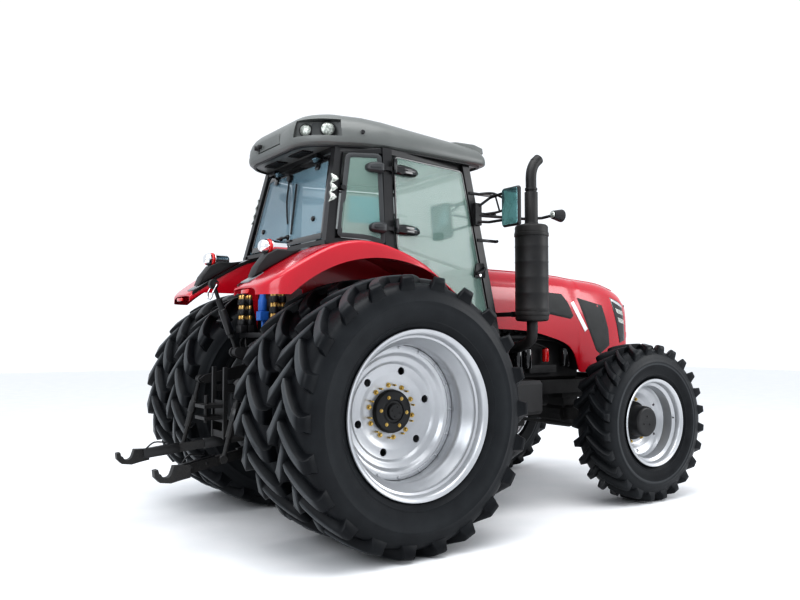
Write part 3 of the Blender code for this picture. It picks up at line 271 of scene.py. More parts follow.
def tyre_rubber(name, centre_x, radius, depth):
    """Blue-black rubber with a dusty band on the sidewall, and cleat tops painted lighter grey as a
    painted highlight.
    """
    made = finish(name, (0.0035, 0.0042, 0.0060), (0.009, 0.0105, 0.0125), (0.30, 0.50), 55, 0.35,
                  7)
    made.node_tree.nodes["Principled BSDF"].inputs["Specular IOR Level"].default_value = 0.22
    nodes, links = made.node_tree.nodes, made.node_tree.links
    shader = nodes["Principled BSDF"]
    below = shader.inputs["Base Color"].links[0].from_socket
    where = next(n for n in nodes if n.type == "TEX_COORD")
    offset = nodes.new("ShaderNodeVectorMath")
    offset.operation = "SUBTRACT"
    offset.inputs[1].default_value = (centre_x + REAR_AXLE_X, 0, radius)
    links.new(where.outputs["Object"], offset.inputs[0])
    flat = nodes.new("ShaderNodeVectorMath")
    flat.operation = "MULTIPLY"
    flat.inputs[1].default_value = (1, 0, 1)
    links.new(offset.outputs["Vector"], flat.inputs[0])
    reach = nodes.new("ShaderNodeVectorMath")
    reach.operation = "LENGTH"
    links.new(flat.outputs["Vector"], reach.inputs[0])
    # Grey by distance from the axle: a dusty band on the sidewall, and on the cleat tops a painted
    # highlight standing in for sky light.
    dust_and_highlight = nodes.new("ShaderNodeValToRGB")
    ramp = dust_and_highlight.color_ramp
    full = radius * 1.02
    stops = [(0.55, 0.03), (0.70, 0.16), (0.80, 0.08), (radius - depth - 0.01, 0.01),
             (radius - 0.014, 0.04), (radius - 0.006, 0.50)]
    stops = [(r if r > 0.81 or radius > 0.8 else r * radius / 0.92, amount)
             for r, amount in stops]
    ramp.elements[0].position, ramp.elements[1].position = stops[0][0] / full, stops[-1][0] / full
    ramp.elements[0].color = (stops[0][1],) * 3 + (1,)
    ramp.elements[1].color = (stops[-1][1],) * 3 + (1,)
    for reach_at, amount in stops[1:-1]:
        ramp.elements.new(reach_at / full).color = (amount,) * 3 + (1,)
    share = nodes.new("ShaderNodeMath")
    share.operation = "DIVIDE"
    share.inputs[1].default_value = full
    links.new(reach.outputs["Value"], share.inputs[0])
    links.new(share.outputs["Value"], dust_and_highlight.inputs["Fac"])
    # Light grey mixed in by that ramp: dust on the sidewall, painted highlight on the cleat tops.
    dust_and_highlight_mix = nodes.new("ShaderNodeMixRGB")
    dust_and_highlight_mix.inputs["Color2"].default_value = (0.11, 0.118, 0.124, 1)
    links.new(dust_and_highlight.outputs["Color"], dust_and_highlight_mix.inputs["Fac"])
    links.new(below, dust_and_highlight_mix.inputs["Color1"])
    links.new(dust_and_highlight_mix.outputs["Color"], shader.inputs["Base Color"])
    return made


# how far out from the bead and how far to the side each point of the section lies
CARCASS = [(0.0026, 0.745), (0.0737, 0.771), (0.1074, 0.822), (0.172, 0.891), (0.178, 0.905),
           (0.196, 0.912), (0.202, 0.906), (0.2755, 0.955), (0.405, 0.991), (0.50, 1.0),
           (0.512, 1.012), (0.53, 1.012), (0.542, 0.998), (0.599, 0.987), (0.6895, 0.946),
           (0.767, 0.882), (0.8137, 0.792), (0.8396, 0.664), (0.8577, 0.428), (0.8655, 0.214),
           (0.868, 0.0)]
CLEAT_TOP = [(1.0, -0.07), (1.0, 0.05), (0.999, 0.22), (0.994, 0.42), (0.986, 0.60),
             (0.979, 0.76), (0.966, 0.88), (0.945, 0.955), (0.915, 0.990), (0.845, 0.998)]
CLEAT_FOOT = [(0.84, -0.09), (0.84, 0.05), (0.835, 0.22), (0.83, 0.42), (0.81, 0.60),
              (0.78, 0.70), (0.75, 0.76), (0.71, 0.81), (0.68, 0.85), (0.66, 0.88)]


def tyre(name, node, material, body, centre, radius, bead, half, count, widths):
    """A tyre with a row of curved cleats on each side, each row half a step from the other."""
    height = radius - bead

    def at(out, share, turn, row=1):
        """A point of the tyre: out from the bead, share of the half width, angle round it."""
        reach = bead + out * height
        return (centre[0] - reach * math.sin(turn), centre[1] + row * share * half,
                centre[2] - reach * math.cos(turn))

    right = [(bead + out * height, share * half) for out, share in CARCASS]
    section = right + [(r, -y) for r, y in reversed(right[:-1])]
    shells = [spun(section, centre, (0, 1, 0), 96, loop=True)]
    step = 2 * math.pi / count
    for row in (1, -1):
        for number in range(count):
            start = step * (number + (0.5 if row > 0 else 0.0)) + 0.4 * step
            rings = []
            for (top, top_side), (foot, foot_side) in zip(CLEAT_TOP, CLEAT_FOOT):
                share = (top_side + 0.07) / 1.07
                turn = start - 0.92 * step * (1 - (1 - share) ** 1.45)
                crest = (widths[0] + (widths[1] - widths[0]) * share) / radius
                base = crest + 0.036 / radius
                rings.append([at(foot, foot_side, turn - base, row),
                              at((foot + top * 2) / 3, (foot_side + top_side * 2) / 3,
                                 turn - crest - 0.011 / radius, row),
                              at(top, top_side, turn - crest, row),
                              at(top, top_side, turn + crest, row),
                              at((foot + top * 2) / 3, (foot_side + top_side * 2) / 3,
                                 turn + crest + 0.011 / radius, row),
                              at(foot, foot_side, turn + base, row)])
            shells.append(lofted(rings))
    return piece(name, shells, material, body, bevel=0.004, segments=2, smooth=38,
                 stands_for=(node,))


rear_rubber = tyre_rubber("rear_tyre_rubber", 0.0, 0.92, 0.05)
front_rubber = tyre_rubber("front_tyre_rubber", 2.716, 0.685, 0.042)
for side, word in SIDES:
    for place, middle in (("inner", 0.727), ("outer", 1.26)):
        tyre(f"cleated_tyre_{place}_{word}", f"rear_tyre_{place}_{word}", rear_rubber,
             f"rear_wheels_{word}", (0, side * middle, 0.92), 0.92, 0.5335, 0.2335, 22,
             (0.022, 0.043))
    tyre(f"cleated_tyre_front_{word}", f"front_tyre_{word}", front_rubber,
         f"front_wheel_{word}", (2.716, side * 0.987, 0.685), 0.685, 0.3556, 0.189, 24,
         (0.015, 0.027))

# ---------------------------------------------------------------- rear wheels
# Rolled steel rims in silver enamel, the outer one bolted through its lug ring to a
# pressed disc with hand holes; the disc is held to the black hub by plated bolts.
silver = finish("silver_enamel", (0.43, 0.44, 0.455), (0.53, 0.54, 0.555), (0.24, 0.38), 90, 0.05,
                2.5, metal=0.6)
zinc = finish("yellow_zinc", (0.50, 0.34, 0.10), (0.62, 0.47, 0.2), (0.25, 0.4), 160, 0.1, 20,
              metal=0.9)
hub_black = finish("hub_black", (0.008, 0.008, 0.009), (0.02, 0.02, 0.02), (0.3, 0.5), 80, 0.2, 9)


def bolts(centre, axis, ring, count, size, rise, start=0.0, washer=True):
    """Hexagon bolt heads on a circle, each on its washer."""
    axis = Vector(axis).normalized()
    across = Vector((1, 0, 0)) if abs(axis.x) < 0.9 else Vector((0, 0, 1))
    up = axis.cross(across)
    shells = []
    for i in range(count):
        turn = start + 2 * math.pi * i / count
        foot = Vector(centre) + (across * math.cos(turn) + up * math.sin(turn)) * ring
        shells.append(spun([(0, rise), (size * 0.72, rise), (size, rise * 0.8), (size, 0),
                            (0, 0)], foot, axis, 6))
        if washer:
            shells.append(spun([(0, rise * 0.25), (size * 1.3, rise * 0.25), (size * 1.35, 0),
                                (0, 0)], foot, axis, 20))
    return shells


def blank(shells):
    """A bare solid made of shells, to cut or to cut with."""
    work = bmesh.new()
    for verts, faces in shells:
        made = [work.verts.new(point) for point in verts]
        for face in faces:
            work.faces.new([made[i] for i in face])
    bmesh.ops.recalc_face_normals(work, faces=work.faces)
    mesh = bpy.data.meshes.new("blank")
    work.to_mesh(mesh)
    work.free()
    made = bpy.data.objects.new("blank", mesh)
    bpy.context.scene.collection.objects.link(made)
    return made


def cut_away(shell, cutters):
    """A closed shell with the cutters' shells cut out of it."""
    body, tool = blank([shell]), blank(cutters)
    cut = body.modifiers.new("Cut", "BOOLEAN")
    cut.operation, cut.solver, cut.object = "DIFFERENCE", "EXACT", tool
    view = bpy.context.evaluated_depsgraph_get()
    mesh = bpy.data.meshes.new_from_object(body.evaluated_get(view))
    bpy.data.objects.remove(body)
    bpy.data.objects.remove(tool)
    return [v.co.copy() for v in mesh.vertices], [tuple(p.vertices) for p in mesh.polygons]


def drilled(shell, holes):
    """A closed shell with round holes through it: (centre, axis, radius, half length)."""
    return cut_away(shell, [spun([(0, -reach), (radius, -reach), (radius, reach), (0, reach)],
                                 centre, axis, 24) for centre, axis, radius, reach in holes])


def rim_barrel(middle):
    """One rolled rim: flanges, bead seats, and the well's steps."""
    flange, seat, well = 0.559, 0.532, 0.462
    outside = [(flange - 0.004, 0.197), (flange, 0.190), (flange - 0.002, 0.183),
               (seat + 0.006, 0.181), (seat, 0.172), (seat - 0.006, 0.135), (seat - 0.020, 0.128),
               (seat - 0.024, 0.100), (well + 0.030, 0.088), (well + 0.026, 0.055),
               (well + 0.006, 0.040), (well, 0.0), (well + 0.002, -0.075), (seat - 0.008, -0.12),
               (seat, -0.172), (seat + 0.006, -0.181), (flange - 0.002, -0.183),
               (flange, -0.190), (flange - 0.004, -0.197)]
    plate = 0.011
    within = [(r - plate if r < 0.545 else r - 0.008, y + (0.002 if y > 0 else -0.002))
              for r, y in outside[3:-3]]
    within = [(flange - 0.012, 0.196), (seat - 0.002, 0.186), *within[1:-1],
              (seat - 0.002, -0.186), (flange - 0.012, -0.196)]
    section = outside + list(reversed(within))
    return [(r, middle + y) for r, y in section]


for side, word in SIDES:
    body = f"rear_wheels_{word}"
    axle = (0, 0, 0.92)
    turn_axis = (0, 1, 0)
    shells = [spun(rim_barrel(middle), axle, turn_axis, 96, loop=True)
              for middle in (0.727, 1.26)]
    piece(f"rolled_rims_{word}", sided(shells, side), silver, body, bevel=0.0,
          smooth=40, stands_for=(f"rear_rims_{word}",))
    disc = [(0.06, 1.090), (0.200, 1.090), (0.225, 1.094), (0.250, 1.106), (0.268, 1.110),
            (0.318, 1.110), (0.326, 1.115), (0.336, 1.130), (0.350, 1.136), (0.372, 1.138),
            (0.382, 1.145), (0.394, 1.166), (0.406, 1.176), (0.452, 1.178),
            (0.454, 1.164), (0.410, 1.162), (0.402, 1.152), (0.390, 1.131), (0.376, 1.122),
            (0.352, 1.121), (0.342, 1.114), (0.330, 1.099), (0.320, 1.094), (0.270, 1.094),
            (0.254, 1.090), (0.230, 1.078), (0.200, 1.074), (0.06, 1.074)]
    holes = [((0.281 * math.cos(a), 1.10, 0.92 + 0.281 * math.sin(a)), (0, 1, 0), 0.026, 0.05)
             for a in [math.pi * (2 * i + 0.5) / 6 for i in range(6)]]
    face = drilled(spun(disc, axle, turn_axis, 96, loop=True), holes)
    piece(f"wheel_disc_{word}", sided([face], side), silver, body, bevel=0.002,
          smooth=40)
    ring = [(0.420, 1.186), (0.450, 1.186), (0.452, 1.178), (0.420, 1.177)]
    lugs = [spun(ring, axle, turn_axis, 96, loop=True)]
    lugs += bolts((0, 1.186, 0.92), (0, 1, 0), 0.434, 16, 0.010, 0.012)
    piece(f"rim_lug_ring_{word}", sided(lugs, side), silver, body, bevel=0.0012,
          smooth=40)
    inner = [(0.14, 0.810), (0.36, 0.810), (0.42, 0.74), (0.452, 0.73), (0.452, 0.716),
             (0.41, 0.726), (0.35, 0.795), (0.14, 0.795)]
    drum = [(0.185, 0.80), (0.20, 0.80), (0.20, 1.08), (0.185, 1.08)]
    piece(f"inner_disc_{word}", sided([spun(inner, axle, turn_axis, 72, loop=True),
                                       spun(drum, axle, turn_axis, 48, loop=True)], side),
          silver, body, smooth=40)
    hub = [(0, 1.160), (0.050, 1.160), (0.056, 1.154), (0.056, 1.128), (0.075, 1.124),
           (0.080, 1.132), (0.128, 1.132), (0.140, 1.126), (0.146, 1.112), (0.148, 1.088),
           (0.150, 1.07), (0, 1.07)]
    shells = [spun(hub, axle, turn_axis, 64)]
    shells += bolts((0, 1.158, 0.92), (0, 1, 0), 0.033, 4, 0.006, 0.006, 0.3, washer=False)
    piece(f"rear_hub_{word}", sided(shells, side), hub_black, body, bevel=0.0015,
          smooth=40)
    shells = bolts((0, 1.090, 0.92), (0, 1, 0), 0.178, 10, 0.013, 0.020, 0.2)
    shells += bolts((0, 1.132, 0.92), (0, 1, 0), 0.104, 6, 0.010, 0.012, 0.1)
    shells += [spun([(0, 0.034), (0.006, 0.034), (0.007, 0.0), (0, 0)],
                    (0.178 * math.cos(a), 1.090, 0.92 + 0.178 * math.sin(a)), (0, 1, 0), 10)
               for a in [0.2 + 2 * math.pi * i / 10 for i in range(10)]]
    piece(f"wheel_bolts_{word}", sided(shells, side), zinc, body, bevel=0.0008,
          smooth=40)
    stem = [spun([(0, 0.05), (0.005, 0.05), (0.006, 0.03), (0.008, 0.0), (0, 0)],
                 (0.30, 1.31, 0.92 + 0.42), (-0.3, 0.8, -0.3), 12)]
    piece(f"valve_stem_{word}", sided(stem, side), hub_black, body, smooth=40)

# ---------------------------------------------------------------- front wheels
# Silver rolled rims with a dished disc set well inboard, bolted over the black
# planetary hub that stands out of the middle of each wheel.
for side, word in SIDES:
    body = f"front_wheel_{word}"
    axle = (2.716, 0, 0.685)
    flange, seat, well = 0.381, 0.3545, 0.322
    outside = [(flange - 0.004, 0.171), (flange, 0.165), (flange - 0.002, 0.159),
               (seat + 0.004, 0.157), (seat, 0.150), (seat - 0.004, 0.112), (well + 0.004, 0.095),
               (well, 0.05), (well, -0.03), (well + 0.02, -0.09), (seat - 0.002, -0.115),
               (seat, -0.150), (seat + 0.004, -0.157), (flange - 0.002, -0.159),
               (flange, -0.165), (flange - 0.004, -0.171)]
    within = [(r - 0.009, y) for r, y in outside[4:-4]]
    section = outside + [(flange - 0.012, -0.170), (seat - 0.003, -0.160),
                         *reversed(within), (seat - 0.003, 0.160), (flange - 0.012, 0.170)]
    barrel = spun([(r, 0.987 + y) for r, y in section], axle, (0, 1, 0), 88, loop=True)
    piece(f"front_rolled_rim_{word}", sided([barrel], side), silver, body,
          smooth=40, stands_for=(f"front_rim_{word}",))
    disc = [(0.10, 0.912), (0.19, 0.912), (0.215, 0.920), (0.235, 0.945), (0.262, 0.958),
            (0.285, 0.962), (0.300, 0.975), (0.316, 1.000), (0.3165, 0.985), (0.306, 0.962),
            (0.288, 0.949), (0.262, 0.945), (0.243, 0.932), (0.224, 0.906), (0.19, 0.898),
            (0.10, 0.898)]
    cuts = [((2.716 + 0.262 * math.cos(a), 0.95, 0.685 + 0.262 * math.sin(a)), (0, 1, 0), 0.011,
             0.05) for a in [math.pi * (2 * i + 1) / 6 for i in range(6)]]
    face = drilled(spun(disc, axle, (0, 1, 0), 88, loop=True), cuts)
    piece(f"front_disc_{word}", sided([face], side), silver, body, bevel=0.0015,
          smooth=40)
    hub = [(0, 1.066), (0.090, 1.067), (0.110, 1.069), (0.124, 1.064), (0.131, 1.054),
           (0.134, 1.03), (0.135, 0.95), (0.150, 0.935), (0.168, 0.925), (0.170, 0.912),
           (0.170, 0.90), (0, 0.90)]
    shells = [spun(hub, axle, (0, 1, 0), 64)]
    shells += bolts((2.716, 1.066, 0.685), (0, 1, 0), 0.045, 3, 0.008, 0.006, 0.6, washer=False)
    piece(f"planetary_hub_{word}", sided(shells, side), hub_black, body,
          bevel=0.0015, smooth=40)
    shells = bolts((2.716, 0.912, 0.685), (0, 1, 0), 0.188, 8, 0.012, 0.018, 0.2)
    piece(f"front_wheel_bolts_{word}", sided(shells, side), zinc, body,
          bevel=0.0008, smooth=40)
    stem = [spun([(0, 0.04), (0.005, 0.04), (0.007, 0.0), (0, 0)],
                 (2.716 + 0.335, 1.075, 0.685 + 0.02), (-0.6, 0.8, 0), 12)]
    piece(f"front_valve_{word}", sided(stem, side), hub_black, body, smooth=40)

# ---------------------------------------------------------------- fenders
# Pressed steel covers in red enamel over the inner rear tyres.  The rolled outer lip and
# the inner panel are one sheet with the top, bolted to the cab's sills.
red = finish("red_enamel", (0.40, 0.0035, 0.018), (0.46, 0.005, 0.022), (0.18, 0.32), 70, 0.03,
             1.6, coat=0.55)
FENDER_TIP = -0.88
FENDER_CORNER = 0.20


def smooth_line(points, steps=5):
    """Points on a smooth line through the given ones."""
    ends = [Vector(point) for point in (points[0], *points, points[-1])]
    line = []
    for a, b, c, d in zip(ends, ends[1:], ends[2:], ends[3:]):
        for i in range(steps):
            t = i / steps
            line.append(0.5 * (2 * b + (c - a) * t + (2 * a - 5 * b + 4 * c - d) * t * t
                               + (3 * b - a - 3 * c + d) * t ** 3))
    return [*line, ends[-1]]


crown = smooth_line([(FENDER_TIP, 1.762), (-0.845, 1.788), (-0.76, 1.845), (-0.62, 1.935),
                     (-0.40, 2.05), (-0.2, 2.095), (0.0, 2.085), (0.2, 2.03), (0.37, 1.955),
                     (0.52, 1.855), (0.67, 1.743), (0.80, 1.62), (0.90, 1.50), (0.985, 1.345)])
for side, word in SIDES:
    rings = []
    for x, top in crown:
        over_wheel = 0.92 + math.sqrt(1.055 ** 2 - x * x)
        lip = min(max(over_wheel, 1.70) if x < 0 else over_wheel, top - 0.03)
        back = FENDER_TIP + FENDER_CORNER - x
        edge = 1.0
        if back > 0:
            edge = 0.80 + math.sqrt(max(FENDER_CORNER ** 2 - back ** 2, 0.0004))
        share = min(1, max(0, (x + 0.36) / 0.12))
        low = min(1.78, top - 0.055) * (1 - share) + 1.25 * share
        skin = 0.008
        outer = [(0.455, low), (0.455, top - 0.030), (0.460, top - 0.012), (0.472, top - 0.003),
                 (0.56, top + 0.002), (0.68, top + 0.003), (edge - 0.07, top),
                 (edge - 0.030, top - 0.005), (edge - 0.012, top - 0.011),
                 (edge - 0.003, top - 0.020), (edge, max(lip, top - 0.034)),
                 (edge + 0.001, (lip + top - 0.034) / 2), (edge + 0.004, lip)]
        inner = [(edge + 0.004 - skin, lip), (edge - skin, max(lip, top - 0.036)),
                 (edge - 0.020, top - 0.024), (edge - 0.07, top - 0.012),
                 (0.56, top - 0.009), (0.455 + skin, top - 0.016), (0.455 + skin, low)]
        rings.append([(x, y, z) for y, z in outer + inner])
    piece(f"fender_cover_{word}", sided([lofted(rings)], side), red, "chassis",
          smooth=42, stands_for=(f"fender_{word}",))
    seam = [lofted([[(x, y, z) for y, z in ((0.449, top - 0.02), (0.449, top + 0.004),
                                            (0.462, top + 0.004), (0.462, top - 0.02))]
                    for x, top in crown[4:-8]])]
    seam += [shell for x, z in ((-0.05, 1.80), (0.15, 1.78), (0.35, 1.66), (0.5, 1.5))
             for shell in bolts((x, 0.466, z), (0, 1, 0), 0, 1, 0.009, 0.007)]
    piece(f"fender_seam_{word}", sided(seam, side), hub_black, "chassis")

# ---------------------------------------------------------------- fender lamps
# Each fender carries a wedge bracket of black plastic on a grey plate, with a chromed
# flashing lamp in front of a red glass, and a red reflector on its rear edge.
black_plastic = finish("black_plastic", (0.010, 0.010, 0.011), (0.022, 0.022, 0.023),
                       (0.38, 0.52), 120, 0.12, 6)
chrome = finish("bright_chrome", (0.72, 0.73, 0.74), (0.80, 0.80, 0.81), (0.06, 0.14), 60, 0.02,
                8, metal=1.0)
plate_grey = finish("zinc_plate", (0.22, 0.23, 0.24), (0.34, 0.35, 0.36), (0.3, 0.45), 90, 0.08,
                    10, metal=0.7)
red_glass = finish("red_lens", (0.42, 0.005, 0.008), (0.55, 0.012, 0.012), (0.08, 0.16), 220,
                   0.15, 14, coat=0.6)
clear_lens = finish("clear_lens", (0.20, 0.22, 0.20), (0.62, 0.64, 0.60), (0.08, 0.18), 260,
                    0.6, 60, metal=0.5, coat=0.6)


def prism(outline, plane, low, high):
    """A flat outline given some thickness across its plane."""
    order = {"XZ": lambda a, b, c: (a, c, b), "XY": lambda a, b, c: (a, b, c),
             "YZ": lambda a, b, c: (c, a, b)}[plane]
    return lofted([[order(a, b, across) for a, b in outline] for across in (low, high)])


def box(x, y, z):
    """A straight block between two values on each axis."""
    return prism([(x[0], y[0]), (x[1], y[0]), (x[1], y[1]), (x[0], y[1])], "XY", *z)


def tube(points, radius, sides=12, steps=5):
    """Round bar or hose on a smooth line through the points."""
    line = smooth_line(points, steps) if len(points) > 2 else [Vector(p) for p in points]
    heading = (line[1] - line[0]).normalized()
    across = heading.orthogonal().normalized()
    rings = []
    for i, point in enumerate(line):
        heading = (line[min(i + 1, len(line) - 1)] - line[max(i - 1, 0)]).normalized()
        across = (across - heading * across.dot(heading)).normalized()
        up = heading.cross(across)
        size = radius[i] if isinstance(radius, list) else radius
        rings.append([point + (across * math.cos(2 * math.pi * k / sides)
                               + up * math.sin(2 * math.pi * k / sides)) * size
                      for k in range(sides)])
    return lofted(rings)


def crown_z(x):
    """Height of the fender's top at x."""
    for (x0, z0), (x1, z1) in zip(crown, crown[1:]):
        if x <= x1:
            return z0 + (z1 - z0) * (x - x0) / (x1 - x0)
    return crown[-1][1]


for side, word in SIDES:
    wedge = prism([(-0.80, crown_z(-0.80) + 0.016), (-0.42, crown_z(-0.42) + 0.010),
                   (-0.52, crown_z(-0.52) + 0.045), (-0.62, crown_z(-0.62) + 0.105),
                   (-0.70, crown_z(-0.70) + 0.115), (-0.77, crown_z(-0.77) + 0.07)],
                  "XZ", 0.49, 0.60)
    piece(f"lamp_bracket_{word}", sided([wedge], side), black_plastic, "chassis",
          bevel=0.010, segments=3)
    base = prism([(-0.84, crown_z(-0.84) + 0.003), (-0.38, crown_z(-0.38) + 0.002),
                  (-0.38, crown_z(-0.38) + 0.010), (-0.84, crown_z(-0.84) + 0.014)],
                 "XZ", 0.475, 0.62)
    piece(f"lamp_plate_{word}", sided([base], side), plate_grey, "chassis",
          bevel=0.002)
    z = 2.055
    body = [(0, 0.0), (0.036, 0.0), (0.045, 0.012), (0.047, 0.10), (0.050, 0.115), (0.050, 0.122),
            (0, 0.122)]
    piece(f"flasher_{word}", sided([spun(body, (-0.53, 0.545, z), (-1, 0, 0), 32)], side), chrome,
          "chassis", bevel=0.002)
    glass = [(0, 0.0), (0.050, 0.0), (0.056, 0.006), (0.056, 0.020), (0.050, 0.027), (0, 0.030)]
    piece(f"flasher_lens_{word}", sided([spun(glass, (-0.652, 0.545, z), (-1, 0, 0), 32)], side),
          red_glass, "chassis", bevel=0.001)
    cap = [(0, 0.0), (0.050, 0.0), (0.052, 0.01), (0.046, 0.035), (0.030, 0.052), (0, 0.058)]
    piece(f"flasher_cap_{word}", sided([spun(cap, (-0.681, 0.545, z), (-1, 0, 0), 32)], side),
          chrome, "chassis", bevel=0.001)
    mark = prism([(0.60, 1.715), (0.72, 1.715), (0.73, 1.742), (0.61, 1.742)], "YZ", -0.892,
                 -0.876)
    piece(f"rear_reflector_{word}", sided([mark], side), red_glass, "chassis",
          bevel=0.004)

# ---------------------------------------------------------------- hood
# A one-piece red enamelled hood that lifts about its rear edge, with black mesh panels and
# a white flash let into each side, and the lamps and barred grille in its nose.
panel_black = finish("mesh_black", (0.009, 0.010, 0.010), (0.020, 0.022, 0.022), (0.32, 0.5), 420,
                     0.9, 12)
white_flash = finish("white_flash", (0.74, 0.76, 0.78), (0.82, 0.83, 0.84), (0.3, 0.4), 80, 0.02)
gloss_black = finish("gloss_black", (0.006, 0.006, 0.007), (0.012, 0.012, 0.013), (0.08, 0.16),
                     60, 0.02, 5, coat=0.6)
NOSE_X = 3.44
NOSE_BOW = 1.15
HOOD_STATIONS = [(1.46, 2.045, 0.425, 1.50), (1.90, 2.04, 0.42, 1.482), (2.20, 2.03, 0.42, 1.425),
                 (2.40, 2.02, 0.42, 1.36), (2.50, 2.01, 0.416, 1.27), (2.555, 2.005, 0.415, 1.14),
                 (2.60, 2.003, 0.415, 1.10), (2.95, 1.975, 0.405, 1.10), (3.18, 1.915, 0.38, 1.11),
                 (3.262, 1.865, 0.366, 1.115)]


def nose_x(y, ahead=0.0):
    """Front of the nose at y, bowed back towards its corners."""
    return NOSE_X + ahead - NOSE_BOW * y * y


def hood_side(top, half, low):
    """Left half of the hood's section, from its lower edge to the crown."""
    return smooth_line([(half, low), (half + 0.003, (low * 2 + top) / 3),
                        (half + 0.003, (low + top * 2) / 3 - 0.03), (half - 0.010, top - 0.16),
                        (half - 0.028, top - 0.105), (half - 0.065, top - 0.055),
                        (half - 0.13, top - 0.028), (half * 0.45, top - 0.009), (0, top)], 3)


rings = []
for x, top, half, low in HOOD_STATIONS:
    half_ring = hood_side(top, half, low)
    rings.append([(x, y, z) for y, z in half_ring] + [(x, -y, z) for y, z in
                                                     reversed(half_ring[:-1])])
for inset, ahead in ((0.0, -0.012), (0.006, 0.0), (0.016, 0.002), (0.030, -0.006),
                     (0.034, -0.03)):
    half_ring = hood_side(1.81 - inset, 0.36 - inset, 1.12)
    rings.append([(nose_x(y, ahead), y, z) for y, z in half_ring]
                 + [(nose_x(y, ahead), -y, z) for y, z in
                    reversed(half_ring[:-1])])
columns = [smooth_line([ring[i] for ring in rings], 3) for i in range(len(rings[0]))]
sheet = lofted([[column[i] for column in columns] for i in range(len(columns[0]))], closed=False)
piece("hood_sheet", [sheet], red, "hood", smooth=40, wall=0.010,
      stands_for=("hood",))
crease = [tube([(x, side * (0.30 - 0.012 * (x - 1.5)), top - 0.0215)
                for x, top, half, low in HOOD_STATIONS[:-1]], 0.004, 6) for side in (1, -1)]
piece("hood_crease", crease, red, "hood")


def hood_y(x, z):
    """How far out the hood's side stands at x and z."""
    for (x0, *near), (x1, *far) in zip(HOOD_STATIONS, HOOD_STATIONS[1:]):
        if x <= x1:
            break
    t = (x - x0) / (x1 - x0)
    top, half, low = [a + (b - a) * t for a, b in zip(near, far)]
    line = hood_side(top, half, low)
    for (y0, z0), (y1, z1) in zip(line, line[1:]):
        if z0 <= z <= z1:
            return y0 + (y1 - y0) * (z - z0) / (z1 - z0)
    return half


def on_hood(outline, lift, cuts=4):
    """A panel that follows the hood's side, standing proud of it by lift."""
    edge = []
    for a, b in zip(outline, [*outline[1:], outline[0]]):
        edge += [(a[0] + (b[0] - a[0]) * i / cuts, a[1] + (b[1] - a[1]) * i / cuts)
                 for i in range(cuts)]
    middle = (sum(p[0] for p in edge) / len(edge), sum(p[1] for p in edge) / len(edge))
    rings = []
    for share, height in ((1.0, -0.006), (1.0, lift), (0.7, lift), (0.35, lift)):
        rings.append([(middle[0] + (x - middle[0]) * share,
                       hood_y(middle[0] + (x - middle[0]) * share,
                              middle[1] + (z - middle[1]) * share) + height,
                       middle[1] + (z - middle[1]) * share) for x, z in edge])
    return lofted(rings)


for side, word in SIDES:
    vents = [on_hood([(1.98, 1.845), (2.332, 1.826), (2.415, 1.745), (2.487, 1.625),
                      (2.447, 1.596), (1.98, 1.665)], 0.007),
             on_hood([(2.540, 1.80), (2.89, 1.735), (2.985, 1.50), (3.00, 1.351), (2.855, 1.265),
                      (2.80, 1.30)], 0.007)]
    piece(f"side_mesh_{word}", sided(vents, side), panel_black, "hood",
          bevel=0.003)
    flash = on_hood([(2.449, 1.745), (2.489, 1.765), (2.680, 1.505), (2.640, 1.478)], 0.009)
    piece(f"side_flash_{word}", sided([flash], side), white_flash, "hood",
          bevel=0.002)
    corner = on_hood([(3.02, 1.82), (3.15, 1.785), (3.235, 1.74), (3.255, 1.40), (3.17, 1.37),
                      (3.12, 1.55)], 0.009)
    piece(f"lamp_housing_{word}", sided([corner], side), gloss_black, "hood",
          bevel=0.003)
    strips = [on_hood([(3.045, 1.805), (3.16, 1.770), (3.225, 1.735), (3.23, 1.715),
                       (3.15, 1.745), (3.05, 1.780)], 0.013)]
    piece(f"lamp_trim_{word}", sided(strips, side), chrome, "hood", bevel=0.002)
    lens = [on_hood([(3.10, 1.715), (3.225, 1.685), (3.235, 1.640), (3.125, 1.665)], 0.013),
            on_hood([(3.13, 1.625), (3.235, 1.60), (3.245, 1.555), (3.15, 1.575)], 0.013)]
    piece(f"side_lamp_{word}", sided(lens, side), clear_lens, "hood",
          bevel=0.003)

    spread = [0.12 + 0.02 * i for i in range(11)]
    for label, low, high, ahead, material in (("front_lamp_frame", 1.56, 1.76, 0.004, gloss_black),
                                              ("front_lamp", 1.60, 1.70, 0.010, clear_lens)):
        rows = [[(nose_x(y, ahead), y, low + (0.02 if y < 0.2 else 0)),
                 (nose_x(y, ahead), y, high - (y - 0.12) * 0.05),
                 (nose_x(y, ahead - 0.03), y, high - (y - 0.12) * 0.05),
                 (nose_x(y, ahead - 0.03), y, low + (0.02 if y < 0.2 else 0))]
                for y in (spread if label == "front_lamp_frame" else spread[1:-1])]
        piece(f"{label}_{word}", sided([lofted(rows)], side), material, "hood",
              bevel=0.003)
bars = []
for z in [1.16 + 0.05 * i for i in range(8)]:
    width = 0.30
    rows = []
    for i in range(17):
        y = -width + 2 * width * i / 16
        x = nose_x(y)
        rows.append([(x - 0.014, y, z), (x - 0.002, y, z + 0.004), (x - 0.002, y, z + 0.014),
                     (x - 0.014, y, z + 0.018)])
    bars.append(lofted(rows))
piece("grille_bars", bars, black_plastic, "hood", bevel=0.002)
centre = prism([(-0.028, 1.13), (0.028, 1.13), (0.055, 1.79), (-0.055, 1.79)], "YZ", NOSE_X - 0.02,
               NOSE_X + 0.012)
piece("nose_blade", [centre], red, "hood", bevel=0.006, segments=3)

rows = []
for i in range(17):
    y = -0.30 + 0.0375 * i
    x = NOSE_X - NOSE_BOW * y * y * 0.8
    rows.append([(x - 0.03, y, 1.405), (x + 0.005, y, 1.40), (x + 0.022, y, 1.425),
                 (x + 0.024, y, 1.475), (x + 0.010, y, 1.497), (x - 0.03, y, 1.50)])
piece("nose_lip", [lofted(rows)], red, "hood", bevel=0.006, segments=3)
